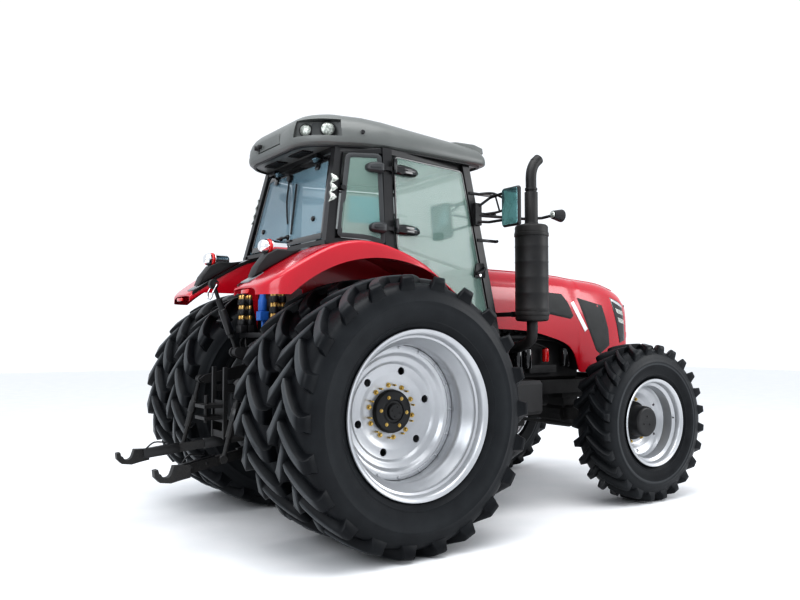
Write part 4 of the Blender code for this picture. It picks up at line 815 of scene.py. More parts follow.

# ---------------------------------------------------------------- roof
# A moulded grey roof, higher at the rear, with a raised rear panel, work lamps in pockets at its
# rear corners lined in darker grey as painted shade, and a lamp scoop at each front corner.
roof_grey = finish("roof_grey", (0.105, 0.112, 0.108), (0.135, 0.142, 0.137), (0.34, 0.48), 260,
                   0.22, 2.2, coat=0.1)
# Darker grey for the walls of the lamp pockets: painted shade in the recesses.
pocket_grey = finish("pocket_grey", (0.045, 0.048, 0.048), (0.06, 0.063, 0.062), (0.5, 0.6), 160,
                     0.2)
ROOF_Z = 2.8303


def roof_plan():
    def sweep(x, y, radius, start, end, steps):
        return [(x + radius * math.cos(math.radians(start + (end - start) * i / steps)),
                 y + radius * math.sin(math.radians(start + (end - start) * i / steps)))
                for i in range(steps + 1)]
    half = [*sweep(-0.10, -0.32, 0.32, 180, 255, 12), (0.0, -0.715), (0.19, -0.748),
            (0.45, -0.745), (0.75, -0.728), (1.0, -0.708),
            *sweep(1.13, -0.58, 0.12, 278, 352, 10), (1.253, -0.40), (1.256, -0.2)]
    return half + [(1.257, 0)] + [(x, -y) for x, y in reversed(half)]


plan = roof_plan()
layers = [(0.0, 0.045), (0.006, 0.022), (0.018, 0.006), (0.035, 0.0), (0.07, 0.001),
          (0.105, 0.007), (0.14, 0.024), (0.17, 0.050), (0.195, 0.085), (0.215, 0.13),
          (0.230, 0.19), (0.2385, 0.27), (0.2397, 0.38), (0.240, 0.55)]
rings = []
for height, inset in layers:
    ring = []
    for x, y in plan:
        away = Vector((x - 0.34, y))
        x, y = Vector((0.34, 0)) + away * (1 - inset / away.length)
        ring.append((x, y, ROOF_Z + height * min(1.17, 1.13 - 0.38 * x)))
    rings.append(ring)
roof = lofted(rings)


def pocket(x, y, turn, width, z, deep):
    """An upright box to cut from the roof, standing across the direction turn."""
    out = Vector((math.cos(turn), math.sin(turn), 0))
    across = Vector((-out.y, out.x, 0))
    foot = Vector((x, y, 0))
    return lofted([[foot + out * reach + across * wide + Vector((0, 0, height))
                    for wide, height in ((-width, z[0]), (width, z[0]), (width * 0.9, z[1]),
                                         (-width * 0.9, z[1]))] for reach in (-deep, 0.3)])


cut_shells = []
for side, word in SIDES:
    cut_shells.append(pocket(-0.265, side * 0.515, math.radians(side * 127), 0.185,
                             (2.895, 3.030), 0.075))
    cut_shells.append(pocket(1.20, side * 0.52, math.radians(side * 12), 0.12, (2.905, 2.985),
                             0.05))
cut_shells.append(pocket(-0.418, 0, math.pi, 0.20, (2.885, 2.985), 0.012))


piece("roof_shell", [cut_away(roof, cut_shells)], roof_grey, "chassis", bevel=0.005,
      segments=3, smooth=30, stands_for=("roof",))
gutter = lofted([[(x * k + 0.34 * (1 - k), y * k, ROOF_Z + h) for x, y in plan]
                 for k, h in ((0.955, 0.012), (0.955, -0.008), (0.93, -0.010), (0.93, 0.012))])
piece("roof_seal", [gutter], black_plastic, "chassis", bevel=0.001)
for side, word in SIDES:
    shells, glass = [], []
    for x, y, turn, size in ((-0.330, 0.425, 140, 0.050), (-0.205, 0.560, 114, 0.056)):
        out = Vector((math.cos(math.radians(turn)), math.sin(math.radians(turn)), 0))
        foot = Vector((x, y, 2.962)) - out * 0.035
        shells.append(spun([(0, -0.03), (size * 0.8, -0.028), (size, 0.0), (size, 0.016),
                            (size * 0.9, 0.018), (0, 0.012)], foot, out, 32))
        shells.append(tube([foot - Vector((0, 0, 0.02)), foot - Vector((0, 0, 0.065))], 0.008, 8))
        glass.append(spun([(0, 0.030), (size * 0.45, 0.028), (size * 0.80, 0.022),
                           (size * 0.90, 0.016), (0, 0.010)], foot, out, 32))
    piece(f"work_lamp_{word}", sided(shells, side), black_plastic, "chassis",
          bevel=0.001)
    piece(f"work_lamp_glass_{word}", sided(glass, side), clear_lens, "chassis")
    # A darker grey sheet on the back wall of each lamp pocket: painted shade.
    dark = []
    for share in range(9):
        turn = math.radians(105 + 5 * share)
        out = Vector((math.cos(turn), math.sin(turn), 0))
        back = Vector((-0.10, 0.32, 0)) + out * 0.212
        dark.append([back + out * reach + Vector((0, 0, z))
                     for reach, z in ((0, 2.905), (0.012, 2.905), (0.006, 3.012), (-0.006, 3.012))])
    piece(f"lamp_recess_{word}", sided([lofted(dark)], side), pocket_grey, "chassis")
    scoop = lofted([[(x, y0, z0), (x, y1, z0), (x, y1 - 0.01, z1), (x, y0 + 0.02, z1)]
                    for x, y0, y1, z0, z1 in ((0.74, 0.42, 0.56, 2.95, 2.985),
                                              (0.95, 0.40, 0.63, 2.94, 3.012),
                                              (1.12, 0.38, 0.65, 2.92, 3.010),
                                              (1.22, 0.36, 0.64, 2.94, 2.992))])
    piece(f"lamp_scoop_{word}", sided([scoop], side), roof_grey, "chassis",
          bevel=0.012, segments=3)
    front = spun([(0, -0.02), (0.035, -0.02), (0.045, 0.0), (0.043, 0.008), (0, 0.012)],
                 (1.19, 0.55, 2.945), (1, 0.2, 0), 28)
    piece(f"front_work_lamp_{word}", sided([front], side), clear_lens, "chassis",
          bevel=0.001)
    marker = [spun([(0, 0.008), (0.014, 0.007), (0.017, 0.0), (0, 0)], (0.0, 0.716, 2.93),
                   (0, 1, 0), 20)]
    piece(f"side_marker_{word}", sided(marker, side), gloss_black, "chassis")
    vent = [box((-0.30 + 0.02 * i, -0.290 + 0.02 * i), (0.10, 0.34), (2.820, 2.832))
            for i in range(5)]
    piece(f"roof_vent_{word}", sided(vent, side), hub_black, "chassis")
nozzle = [spun([(0, 0.045), (0.020, 0.045), (0.020, 0.02), (0.026, 0.018), (0.028, -0.01),
                (0, -0.01)], (-0.405, 0.20, 2.935), (-1, 0.15, 0), 20),
          box((-0.445, -0.41), (0.14, 0.17), (2.925, 2.95))]
piece("rear_nozzle", nozzle, black_plastic, "chassis", bevel=0.003)
panel = lofted([[(-0.4135 - out, y * k, z) for y, z in ((-0.185, 2.895), (0.185, 2.895),
                                                        (0.165, 2.975), (-0.165, 2.975))]
                for out, k in ((-0.006, 1.0), (0.002, 1.0), (0.003, 0.96))])
piece("rear_fascia", [panel], roof_grey, "chassis", bevel=0.003)

# ---------------------------------------------------------------- cab
# A welded steel frame in black paint carries frameless tinted glass: two doors hinged on
# the middle posts, two quarter windows and a rear window, all on round glass fixings.
frame_black = finish("frame_black", (0.008, 0.008, 0.009), (0.016, 0.016, 0.017), (0.26, 0.42),
                     110, 0.06, 4, coat=0.15)
band_grey = finish("band_grey", (0.030, 0.032, 0.034), (0.045, 0.048, 0.050), (0.35, 0.5), 140,
                   0.05)
SILL_LIFT = 0.046
HEAD_Z = 2.779


def glazing(name, colour, second, alpha):
    """Tinted safety glass, a little uneven in tint and gloss."""
    made = finish(name, colour, second, (0.07, 0.13), 5, 0.0, 1.3)
    made.node_tree.nodes["Principled BSDF"].inputs["Alpha"].default_value = alpha
    return made


side_glass = glazing("side_glass", (0.19, 0.28, 0.25), (0.27, 0.37, 0.33), 0.46)
rear_glass = glazing("rear_glass", (0.15, 0.24, 0.30), (0.24, 0.36, 0.42), 0.50)
mirror_glass = finish("mirror_glass", (0.30, 0.52, 0.55), (0.36, 0.60, 0.62), (0.04, 0.09), 40,
                      0.0, 3, metal=0.9)


def post(z, foot, head, foot_z):
    """A cab post's place at height z, as (x, y)."""
    t = (z - foot_z) / (2.83 - foot_z)
    return foot[0] + (head[0] - foot[0]) * t, foot[1] + (head[1] - foot[1]) * t


def front_post(z):
    return post(z, (1.37, 0.62), (1.031, 0.599), 1.30)


def middle_post(z):
    return post(z, (0.19, 0.80), (0.19, 0.75), 2.0)


def rear_post(z):
    return post(z, (-0.30, 0.75), (-0.133, 0.605), 2.0)


def flank(x, z):
    """How far out the cab's side stands at x and z."""
    behind, ahead = (middle_post(z), front_post(z)) if x > 0.19 else (rear_post(z), middle_post(z))
    return behind[1] + (ahead[1] - behind[1]) * (x - behind[0]) / (ahead[0] - behind[0])


def on_flank(outline, low, high):
    """A flat outline in X and Z laid on the cab's side, from low to high off it."""
    return lofted([[(x, flank(x, z) + off, z) for x, z in outline] for off in (low, high)])


def shrunk(outline, inset):
    """The outline moved in by inset on every edge."""
    area = sum(a[0] * b[1] - b[0] * a[1] for a, b in zip(outline, [*outline[1:], outline[0]]))
    turn = 1 if area > 0 else -1
    made = []
    for i, here in enumerate(outline):
        back, ahead = Vector(outline[i - 1]), Vector(outline[(i + 1) % len(outline)])
        here = Vector(here)
        one, two = (here - back).normalized(), (ahead - here).normalized()
        inward = Vector((-one.y - two.y, one.x + two.x)) * turn
        inward.normalize()
        lean = max(0.5, inward.dot(Vector((-one.y, one.x)) * turn))
        made.append(tuple(here + inward * inset / lean))
    return made


def rounded(outline, radius):
    """The outline with its corners eased."""
    made = []
    for i, here in enumerate(outline):
        here = Vector(here)
        back, ahead = Vector(outline[i - 1]), Vector(outline[(i + 1) % len(outline)])
        cut = min(radius, (back - here).length * 0.45, (ahead - here).length * 0.45)
        start = here + (back - here).normalized() * cut
        end = here + (ahead - here).normalized() * cut
        for t in (0, 0.25, 0.5, 0.75, 1):
            made.append(tuple(start * (1 - t) ** 2 + here * 2 * t * (1 - t) + end * t * t))
    return made


def hoop(rings):
    """A closed band that runs through matching points of its rings."""
    stations = [[ring[i] for ring in rings] for i in range(len(rings[0]))]
    return lofted([*stations, stations[0]], caps=False)


def border(outline, inset, low, high):
    """A band round the inside of an outline on the cab's side."""
    outer, inner = outline, shrunk(outline, inset)
    rings = [[(x, flank(x, z) + off, z) for x, z in line]
             for line, off in ((outer, low), (outer, high), (inner, high), (inner, low))]
    return hoop(rings)


def capsule(z, near, far):
    """A hinge's moulded cover: a long rounded pod that tapers away from the post."""
    rows = []
    for share, half, rise in ((0.0, 0.030, 0.030), (0.02, 0.036, 0.040), (0.25, 0.040, 0.052),
                              (0.6, 0.038, 0.054), (0.85, 0.031, 0.046), (0.96, 0.020, 0.034),
                              (1.0, 0.009, 0.026)):
        x = near + (far - near) * share
        y = flank(x, z) + 0.012
        rows.append([(x, y, z - half), (x, y + rise * 0.6, z - half), (x, y + rise, z - half * 0.6),
                     (x, y + rise, z + half * 0.6), (x, y + rise * 0.6, z + half),
                     (x, y, z + half)])
    groove = [[(x, y + (0.003 if k in (2, 3) else 0), zz) for k, (x, y, zz) in enumerate(row)]
              for row in rows[2:5]]
    slot_rows = [[(x, y, z - 0.006), (x, y + 0.0565, z - 0.006), (x, y + 0.0565, z + 0.006),
                  (x, y, z + 0.006)] for x, y in ((row[0][0], row[0][1]) for row in groove)]
    return [lofted(rows), lofted(slot_rows)]


door_line = [(0.2365, crown_z(0.2365) + SILL_LIFT)]
door_line += [(x + 0.03, crown_z(x) + SILL_LIFT) for x in (0.37, 0.52, 0.67, 0.80, 0.90)]
door_line += [(1.03, 1.402), (front_post(1.402)[0] - 0.041, 1.402),
              (front_post(HEAD_Z)[0] - 0.041, HEAD_Z), (0.2365, HEAD_Z)]
quarter_line = [(rear_post(crown_z(-0.24) + SILL_LIFT)[0] + 0.041, crown_z(-0.24) + SILL_LIFT),
                (0.0, crown_z(0.0) + SILL_LIFT), (0.1435, crown_z(0.1435) + SILL_LIFT),
                (0.1435, HEAD_Z), (rear_post(HEAD_Z)[0] + 0.041, HEAD_Z)]
door_edge, quarter_edge = rounded(door_line, 0.05), rounded(quarter_line, 0.04)
for side, word in SIDES:
    piece(f"door_pane_{word}", sided([on_flank(shrunk(door_edge, 0.004), 0.014, 0.020)], side),
          side_glass, f"door_{word}", stands_for=(f"door_glass_{word}",))
    rim = [border(door_edge, 0.016, 0.011, 0.0225)]
    for low, high in ((2.20, 2.24), (2.65, 2.69)):
        z = (low + high) / 2
        rim += capsule(z, 0.250, 0.475)
        hinge_x, hinge_y = 0.2375, flank(0.2375, z) + 0.042
        rim += [tube([(hinge_x, hinge_y, z - 0.03), (hinge_x, hinge_y, z + 0.075)], 0.0135, 16)]
    piece(f"door_{word}_rim", sided(rim, side), gloss_black, f"door_{word}",
          bevel=0.002, stands_for=(f"door_{word}",))
    grip = [on_flank(rounded([(1.09, 1.91), (1.225, 1.91), (1.225, 2.03), (1.12, 2.03)], 0.02),
                     0.0225, 0.036),
            tube([(1.11, flank(1.11, 1.96) + 0.03, 1.935),
                  (1.115, flank(1.11, 1.96) + 0.062, 1.945),
                  (1.17, flank(1.17, 1.97) + 0.066, 1.962), (1.20, flank(1.2, 1.98) + 0.060, 1.985),
                  (1.205, flank(1.2, 1.98) + 0.032, 1.995)], 0.010, 12)]
    piece(f"door_handle_{word}", sided(grip, side), black_plastic, f"door_{word}",
          bevel=0.003)
    lock = spun([(0, 0.012), (0.011, 0.011), (0.014, 0.006), (0.015, 0), (0, 0)],
                (1.15, flank(1.15, 1.93) + 0.036, 1.928), (0, 1, 0), 24)
    piece(f"door_lock_{word}", sided([lock], side), chrome, f"door_{word}")
    bar = [tube([(0.30, flank(0.3, 1.98) - 0.05, 2.10), (0.55, flank(0.55, 2.1) - 0.055, 2.06),
                 (1.0, flank(1.0, 2.0) - 0.05, 1.98)], 0.013, 12)]
    piece(f"door_grab_bar_{word}", sided(bar, side), black_plastic, f"door_{word}")

    piece(f"quarter_pane_{word}", sided([on_flank(shrunk(quarter_edge, 0.004), 0.004, 0.010)],
                                        side),
          side_glass, f"quarter_window_{word}", stands_for=(f"quarter_window_{word}",))
    rim = [border(quarter_edge, 0.034, 0.0105, 0.0145)]
    for low, high in ((2.20, 2.24), (2.65, 2.69)):
        z = (low + high) / 2
        rim += capsule(z, 0.141, 0.02)
    piece(f"quarter_band_{word}", sided(rim, side), band_grey, f"quarter_window_{word}",
          bevel=0.002)
    spot = (-0.150, flank(-0.150, 2.505), 2.505)
    latch = [spun([(0, 0.030), (0.018, 0.028), (0.022, 0.018), (0.022, 0.008), (0, 0.008)],
                  spot, (0, 1, 0), 24),
             spun([(0, -0.03), (0.016, -0.03), (0.020, -0.012), (0.020, 0.002), (0, 0.002)],
                  spot, (0, 1, 0), 24)]
    piece(f"quarter_latch_{word}", sided(latch, side), gloss_black, f"quarter_window_{word}")
    lamp_shells = []
    for z in (2.43, 2.50, 2.57):
        lamp_shells.append(on_flank([(rear_post(h)[0] + dx, h) for dx, h in
                                     ((-0.048, z - 0.040), (-0.012, z - 0.022), (0.010, z),
                                      (-0.012, z + 0.022), (-0.048, z + 0.040), (-0.034, z))],
                                    0.004, 0.024))
    piece(f"post_lamp_{word}", sided(lamp_shells, side), clear_lens, "chassis",
          bevel=0.004)
sheet_blue = finish("tint_film", (0.10, 0.40, 0.46), (0.14, 0.46, 0.52), (0.2, 0.3), 40, 0.02)
sheet_blue.node_tree.nodes["Principled BSDF"].inputs["Alpha"].default_value = 0.45
film = on_flank(rounded([(-0.15, 2.25), (0.125, 2.25), (0.125, 2.45), (-0.12, 2.45)], 0.02),
                0.0022, 0.0032)
piece("quarter_film", sided([film], -1), sheet_blue, "quarter_window_right")

foot, head = (rear_post(2.13)[1] - 0.076, 2.132), (rear_post(2.778)[1] - 0.066, 2.778)
screen = rounded([(-foot[0], foot[1]), (foot[0], foot[1]), (head[0], head[1]),
                  (-head[0], head[1])], 0.05)


def rear_pane(outline, low, high):
    return lofted([[(rear_post(z)[0] - 0.010 - off, y, z) for y, z in outline]
                   for off in (low, high)])


inner = shrunk(screen, 0.045)
rear_rim = [[(rear_post(z)[0] - 0.010 - off, y, z) for y, z in line]
            for line, off in ((screen, 0.0065), (screen, 0.009), (inner, 0.009),
                              (inner, 0.0065))]
shells = [hoop(rear_rim)]
for y in (-0.36, 0.36):
    shells.append(rear_pane(rounded([(y - 0.03, 2.69), (y + 0.03, 2.69), (y + 0.03, 2.765),
                                     (y - 0.03, 2.765)], 0.01), 0.0095, 0.022))
for y, z in ((-0.44, 2.30), (0.44, 2.30), (-0.06, 2.20), (0.06, 2.20)):
    shells.append(spun([(0, 0.026), (0.016, 0.024), (0.020, 0.014), (0.020, 0.006), (0, 0.006)],
                       (rear_post(z)[0] - 0.010, y, z), (-1, 0, 0), 24))
grip_x = rear_post(2.20)[0] - 0.03
shells.append(tube([(grip_x, -0.06, 2.20), (grip_x - 0.03, -0.05, 2.195),
                    (grip_x - 0.03, 0.05, 2.195), (grip_x, 0.06, 2.20)], 0.009, 12))
piece("rear_window_rim", shells, gloss_black, "rear_window", bevel=0.001)
blade = [tube([(rear_post(2.70)[0] - 0.030, 0.10, 2.70),
               (rear_post(2.5)[0] - 0.048, 0.03, 2.50),
               (rear_post(2.31)[0] - 0.032, -0.03, 2.31)], 0.0065, 8),
         tube([(rear_post(2.60)[0] - 0.024, -0.05, 2.63),
               (rear_post(2.22)[0] - 0.024, -0.11, 2.22)], 0.007, 8),
         spun([(0, -0.02), (0.028, -0.02), (0.032, -0.01), (0.028, 0.02), (0, 0.024)],
              (rear_post(2.70)[0] - 0.025, 0.10, 2.70), (-1, 0, 0), 24)]
piece("rear_wiper", blade, black_plastic, "rear_window")
front_rim = rounded([(-0.565, 1.56), (0.565, 1.56), (0.545, 2.77), (-0.545, 2.77)], 0.06)
front_band = [[(front_post(z)[0] + off, y, z) for y, z in line]
              for line, off in ((front_rim, 0.0065), (front_rim, 0.009),
                                (shrunk(front_rim, 0.035), 0.009),
                                (shrunk(front_rim, 0.035), 0.0065))]
wiper_foot = front_post(1.60)[0] + 0.02
piece("windshield_band",
      [hoop(front_band),
       tube([(wiper_foot + 0.015, 0.0, 1.60), (front_post(1.9)[0] + 0.035, 0.16, 1.90),
             (front_post(2.2)[0] + 0.022, 0.28, 2.18)], 0.007, 8),
       tube([(front_post(1.8)[0] + 0.018, 0.20, 1.80), (front_post(2.45)[0] + 0.018, 0.33, 2.45)],
            0.006, 8)], gloss_black, "chassis", bevel=0.001)
brackets = []
for x0, x1, z in ((1.16, 1.33, 2.60), (1.20, 1.33, 2.44), (1.24, 1.35, 2.22)):
    y = front_post(z)[1] + 0.035
    x0 = front_post(z)[0] - 0.02
    brackets += [box((x0, x1), (y, y + 0.008), (z - 0.012, z + 0.012)),
                 tube([(x1 - 0.012, y - 0.01, z), (x1 - 0.012, y + 0.03, z)], 0.012, 12)]
piece("post_brackets", sided(brackets, -1) + sided(brackets, 1), frame_black, "chassis",
      bevel=0.002)

# ---------------------------------------------------------------- exhaust
# The vertical silencer of rolled sheet in black heat-proof paint stands on the engine's
# right, with a bend below and a tail pipe cut on the slant.
heat_black = finish("heat_black", (0.010, 0.010, 0.011), (0.022, 0.021, 0.020), (0.42, 0.6), 240,
                    0.25, 5)
body = [(0, 1.5555), (0.075, 1.5555), (0.122, 1.560), (0.134, 1.568), (0.138, 1.582)]
for z in (1.66, 1.79, 1.92, 2.05, 2.18, 2.30):
    body += [(0.138, z - 0.008), (0.1402, z), (0.138, z + 0.008)]
body += [(0.138, 2.340), (0.134, 2.352), (0.122, 2.361), (0.075, 2.3655), (0.058, 2.374),
         (0.055, 2.39), (0.055, 2.640), (0.047, 2.6445), (0, 2.6445)]
stack = [spun([(r, z) for r, z in body], (1.61, -0.79, 0), (0, 0, 1), 56)]
tail = smooth_line([(1.61, -0.79, 2.60), (1.61, -0.79, 2.70), (1.61, -0.79, 2.77),
                    (1.620, -0.79, 2.83), (1.648, -0.79, 2.885), (1.690, -0.79, 2.925),
                    (1.700, -0.79, 2.934)], 4)
rings = []
for radius in (0.045, 0.038):
    line = tail if radius == 0.045 else tail[::-1]
    for i, point in enumerate(line):
        heading = (line[min(i + 1, len(line) - 1)] - line[max(i - 1, 0)]).normalized()
        if radius < 0.04:
            heading = -heading
        up = heading.cross(Vector((0, 1, 0))).normalized()
        end = (i == len(line) - 1) if radius == 0.045 else (i == 0)
        rings.append([point + Vector((0, 1, 0)) * radius * math.cos(math.tau * k / 28)
                      + up * radius * math.sin(math.tau * k / 28)
                      - heading * (0.035 * (1 + math.sin(math.tau * k / 28)) if end else 0)
                      for k in range(28)])
stack.append(lofted(rings))
stack.append(tube([(1.61, -0.79, 1.556), (1.61, -0.79, 1.47), (1.615, -0.76, 1.40),
                   (1.65, -0.60, 1.345), (1.70, -0.40, 1.335), (1.70, -0.272, 1.335)], 0.045, 24))
for z in (1.62, 2.28):
    stack.append(spun([(0.139, z - 0.016), (0.1435, z - 0.013), (0.1435, z + 0.013),
                       (0.139, z + 0.016)], (1.61, -0.79, 0), (0, 0, 1), 56, loop=True))
stack.append(spun([(0.044, 2.655), (0.052, 2.657), (0.052, 2.675), (0.044, 2.677)],
                  (1.61, -0.79, 0), (0, 0, 1), 32, loop=True))
piece("silencer", stack, heat_black, "chassis", bevel=0.0015,
      stands_for=("exhaust_stack",))
stay = [box((1.50, 1.53), (-0.66, -0.44), (1.60, 1.635)), box((1.50, 1.72), (-0.665, -0.652),
                                                            (1.595, 1.64))]
piece("silencer_stay", stay, frame_black, "chassis", bevel=0.002)

# ---------------------------------------------------------------- mirrors
# Each mirror is a moulded black housing with its glass facing back, on a ladder of bent
# tube, with a marker lamp on the arm's end.
for side, word in SIDES:
    pane = lofted([[(1.190 - out, y, z) for y, z in rounded([(0.897, 2.312), (1.073, 2.312),
                                                             (1.073, 2.598), (0.897, 2.598)],
                                                            0.02)] for out in (-0.002, 0.0025)])
    piece(f"mirror_pane_{word}", sided([pane], side), mirror_glass, "chassis",
          bevel=0.001)
    ladder = [tube([(1.16, 0.66, 2.60), (1.22, 0.74, 2.60), (1.235, 0.82, 2.565),
                    (1.235, 0.885, 2.53)], 0.010, 10),
              tube([(1.22, 0.65, 2.44), (1.28, 0.74, 2.45), (1.30, 0.80, 2.47),
                    (1.24, 0.885, 2.50)], 0.010, 10)]
    ladder += [tube([(1.235, 0.76, 2.592), (1.285, 0.76, 2.456)], 0.007, 8)]
    piece(f"mirror_ladder_{word}", sided(ladder, side), frame_black, "chassis")
    lens = spun([(0, 0.01), (0.022, 0.008), (0.030, 0.0), (0, 0)], (1.795, 0.85, 2.46),
                (-1, 0, 0), 28)
    piece(f"arm_lamp_lens_{word}", sided([lens], side), clear_lens, "chassis")

# ---------------------------------------------------------------- linkage and couplings
# Forged lower links with hook ends, screw-adjusted lift rods, a top link with a pinned
# handle, and the oil couplings with their hoses on the axle housing.
brass = finish("coupler_brass", (0.52, 0.34, 0.12), (0.60, 0.42, 0.18), (0.22, 0.36), 120, 0.06,
               9, metal=0.9)
valve_blue = finish("valve_blue", (0.02, 0.10, 0.34), (0.03, 0.14, 0.42), (0.35, 0.5), 90, 0.05)
hose_black = finish("hose_rubber", (0.008, 0.008, 0.008), (0.016, 0.016, 0.016), (0.5, 0.65), 320,
                    0.3)


def along(start, end, share):
    """The point that lies a share of the way from start to end."""
    return Vector(start) + (Vector(end) - Vector(start)) * share


def clamp(start, end, share, half, long):
    """A four-sided collar round a bar that runs from start to end."""
    start, end = Vector(start), Vector(end)
    heading = (end - start).normalized()
    across = Vector((0, 1, 0))
    up = heading.cross(across).normalized()
    centre = along(start, end, share)
    return lofted([[centre + heading * shift + across * a * half[0] + up * b * half[1]
                    for a, b in ((-1, -1), (1, -1), (1, 1), (-1, 1))]
                   for shift in (-long, long)])


LINK_PIVOT, HOOK = (-0.42, 0.25, 0.655), (-1.34, 0.46, 0.535)
ROD_TOP, ROD_FOOT = (-0.80, 0.42, 1.10), (-0.93, 0.42, 0.59)
for side, word in SIDES:
    shells = [clamp(LINK_PIVOT, HOOK, 0.30, (0.021, 0.040), 0.10),
              clamp(LINK_PIVOT, HOOK, 0.74, (0.020, 0.036), 0.13)]
    for share in (0.24, 0.36, 0.68, 0.80):
        shells += bolts(along(LINK_PIVOT, HOOK, share) + Vector((0, 0.021, 0)), (0, 1, 0), 0, 1,
                        0.010, 0.008)
    shells.append(tube([along(LINK_PIVOT, HOOK, 0.86) + Vector((0, -0.02, 0.036)),
                        along(LINK_PIVOT, HOOK, 0.80) + Vector((0, -0.03, 0.075)),
                        along(LINK_PIVOT, HOOK, 0.68) + Vector((0, -0.02, 0.050))], 0.006, 8))
    piece(f"link_straps_{word}", sided(shells, side), frame_black, f"lower_link_{word}",
          bevel=0.003)
    pins = [spun([(0, 0.042), (0.012, 0.042), (0.016, 0.038), (0.016, -0.038), (0.012, -0.042),
                  (0, -0.042)], along(ROD_TOP, ROD_FOOT, 0.0), (0, 1, 0), 20)]
    piece(f"lift_pin_{word}", sided(pins, side), zinc, "lift_arms")
    screw = []
    for i in range(16):
        share = 0.50 + 0.014 * i
        spot = along(ROD_TOP, ROD_FOOT, share)
        aim_at = Vector(ROD_FOOT) - Vector(ROD_TOP)
        screw.append(spun([(0.016, -0.0025), (0.0215, 0.0), (0.016, 0.0025)], spot, aim_at, 20,
                          loop=True))
    screw.append(spun([(0, -0.045), (0.026, -0.045), (0.031, -0.038), (0.031, 0.038),
                       (0.026, 0.045), (0, 0.045)], along(ROD_TOP, ROD_FOOT, 0.42),
                      Vector(ROD_FOOT) - Vector(ROD_TOP), 6))
    piece(f"lift_screw_{word}", sided(screw, side), frame_black, f"lift_rod_{word}",
          bevel=0.001)
TOP_LOW, TOP_HIGH = (-0.668, 0, 1.312), (-0.856, 0, 1.817)
shells = [spun([(0, -0.10), (0.026, -0.10), (0.031, -0.09), (0.031, 0.09), (0.026, 0.10),
                (0, 0.10)], along(TOP_LOW, TOP_HIGH, 0.45),
               Vector(TOP_HIGH) - Vector(TOP_LOW), 24),
          tube([along(TOP_LOW, TOP_HIGH, 0.45) + Vector((0, 0.03, 0)),
                along(TOP_LOW, TOP_HIGH, 0.45) + Vector((-0.02, 0.075, 0.01)),
                along(TOP_LOW, TOP_HIGH, 0.45) + Vector((-0.02, 0.13, 0.01))], 0.007, 10)]
piece("top_link_barrel", shells, frame_black, "top_link", bevel=0.002)
handle = [tube([(-0.845, -0.045, 1.815), (-0.845, 0.045, 1.815)], 0.014, 16),
          tube([(-0.845, -0.046, 1.812), (-0.875, -0.052, 1.76), (-0.885, -0.03, 1.71),
                (-0.885, 0.03, 1.71), (-0.875, 0.052, 1.76), (-0.845, 0.046, 1.812)], 0.007, 10)]
piece("top_link_pin", handle, chrome, "top_link")

stacks, rings = [], []
for side in (1, -1):
    for k, x in enumerate((-0.445, -0.505)):
        y = side * 0.30
        stacks.append(box((x - 0.026, x + 0.026), (y - 0.05, y + 0.05), (1.46, 1.52)))
        for dy in (-0.025, 0.025):
            for step, z in enumerate((1.52, 1.60, 1.68)):
                stacks.append(spun([(0, 0), (0.020, 0), (0.023, 0.008), (0.023, 0.040),
                                    (0.018, 0.048), (0, 0.048)], (x, y + dy, z), (0, 0, 1), 20))
                rings.append(spun([(0, 0.047), (0.016, 0.047), (0.017, 0.056), (0.017, 0.074),
                                   (0.014, 0.080), (0, 0.080)], (x, y + dy, z), (0, 0, 1), 20))
stacks.append(box((-0.50, -0.40), (-0.36, 0.36), (1.42, 1.461)))
piece("coupling_blocks", stacks, black_plastic, "chassis", bevel=0.002)
piece("coupling_rings", rings, brass, "chassis", bevel=0.001)
valve = [box((-0.53, -0.46), (-0.115, -0.035), (1.55, 1.62)),
         spun([(0, 0), (0.030, 0), (0.034, 0.01), (0.034, 0.085), (0.026, 0.10), (0.020, 0.14),
               (0, 0.142)], (-0.495, -0.075, 1.62), (0, 0, 1), 24),
         box((-0.50, -0.46), (-0.09, -0.06), (1.46, 1.55))]
piece("blue_valve", valve, valve_blue, "chassis", bevel=0.004, segments=3)
pipes = [tube([(-0.47, 0.27, 1.44), (-0.50, 0.22, 1.36), (-0.44, 0.20, 1.20), (-0.36, 0.21, 1.05)],
              0.010, 10),
         tube([(-0.47, -0.27, 1.44), (-0.50, -0.23, 1.36), (-0.44, -0.20, 1.22),
               (-0.36, -0.21, 1.05)], 0.010, 10),
         tube([(-0.46, -0.05, 1.56), (-0.44, 0.03, 1.48), (-0.42, 0.10, 1.38), (-0.36, 0.12, 1.2)],
              0.009, 10),
         tube([(-0.47, -0.33, 1.44), (-0.47, -0.40, 1.36), (-0.38, -0.38, 1.18),
               (-0.30, -0.30, 1.06)], 0.010, 10),
         tube([(-0.47, 0.33, 1.44), (-0.47, 0.40, 1.36), (-0.38, 0.38, 1.18),
               (-0.30, 0.30, 1.06)], 0.010, 10)]
piece("linkage_pipes", pipes, hose_black, "chassis")

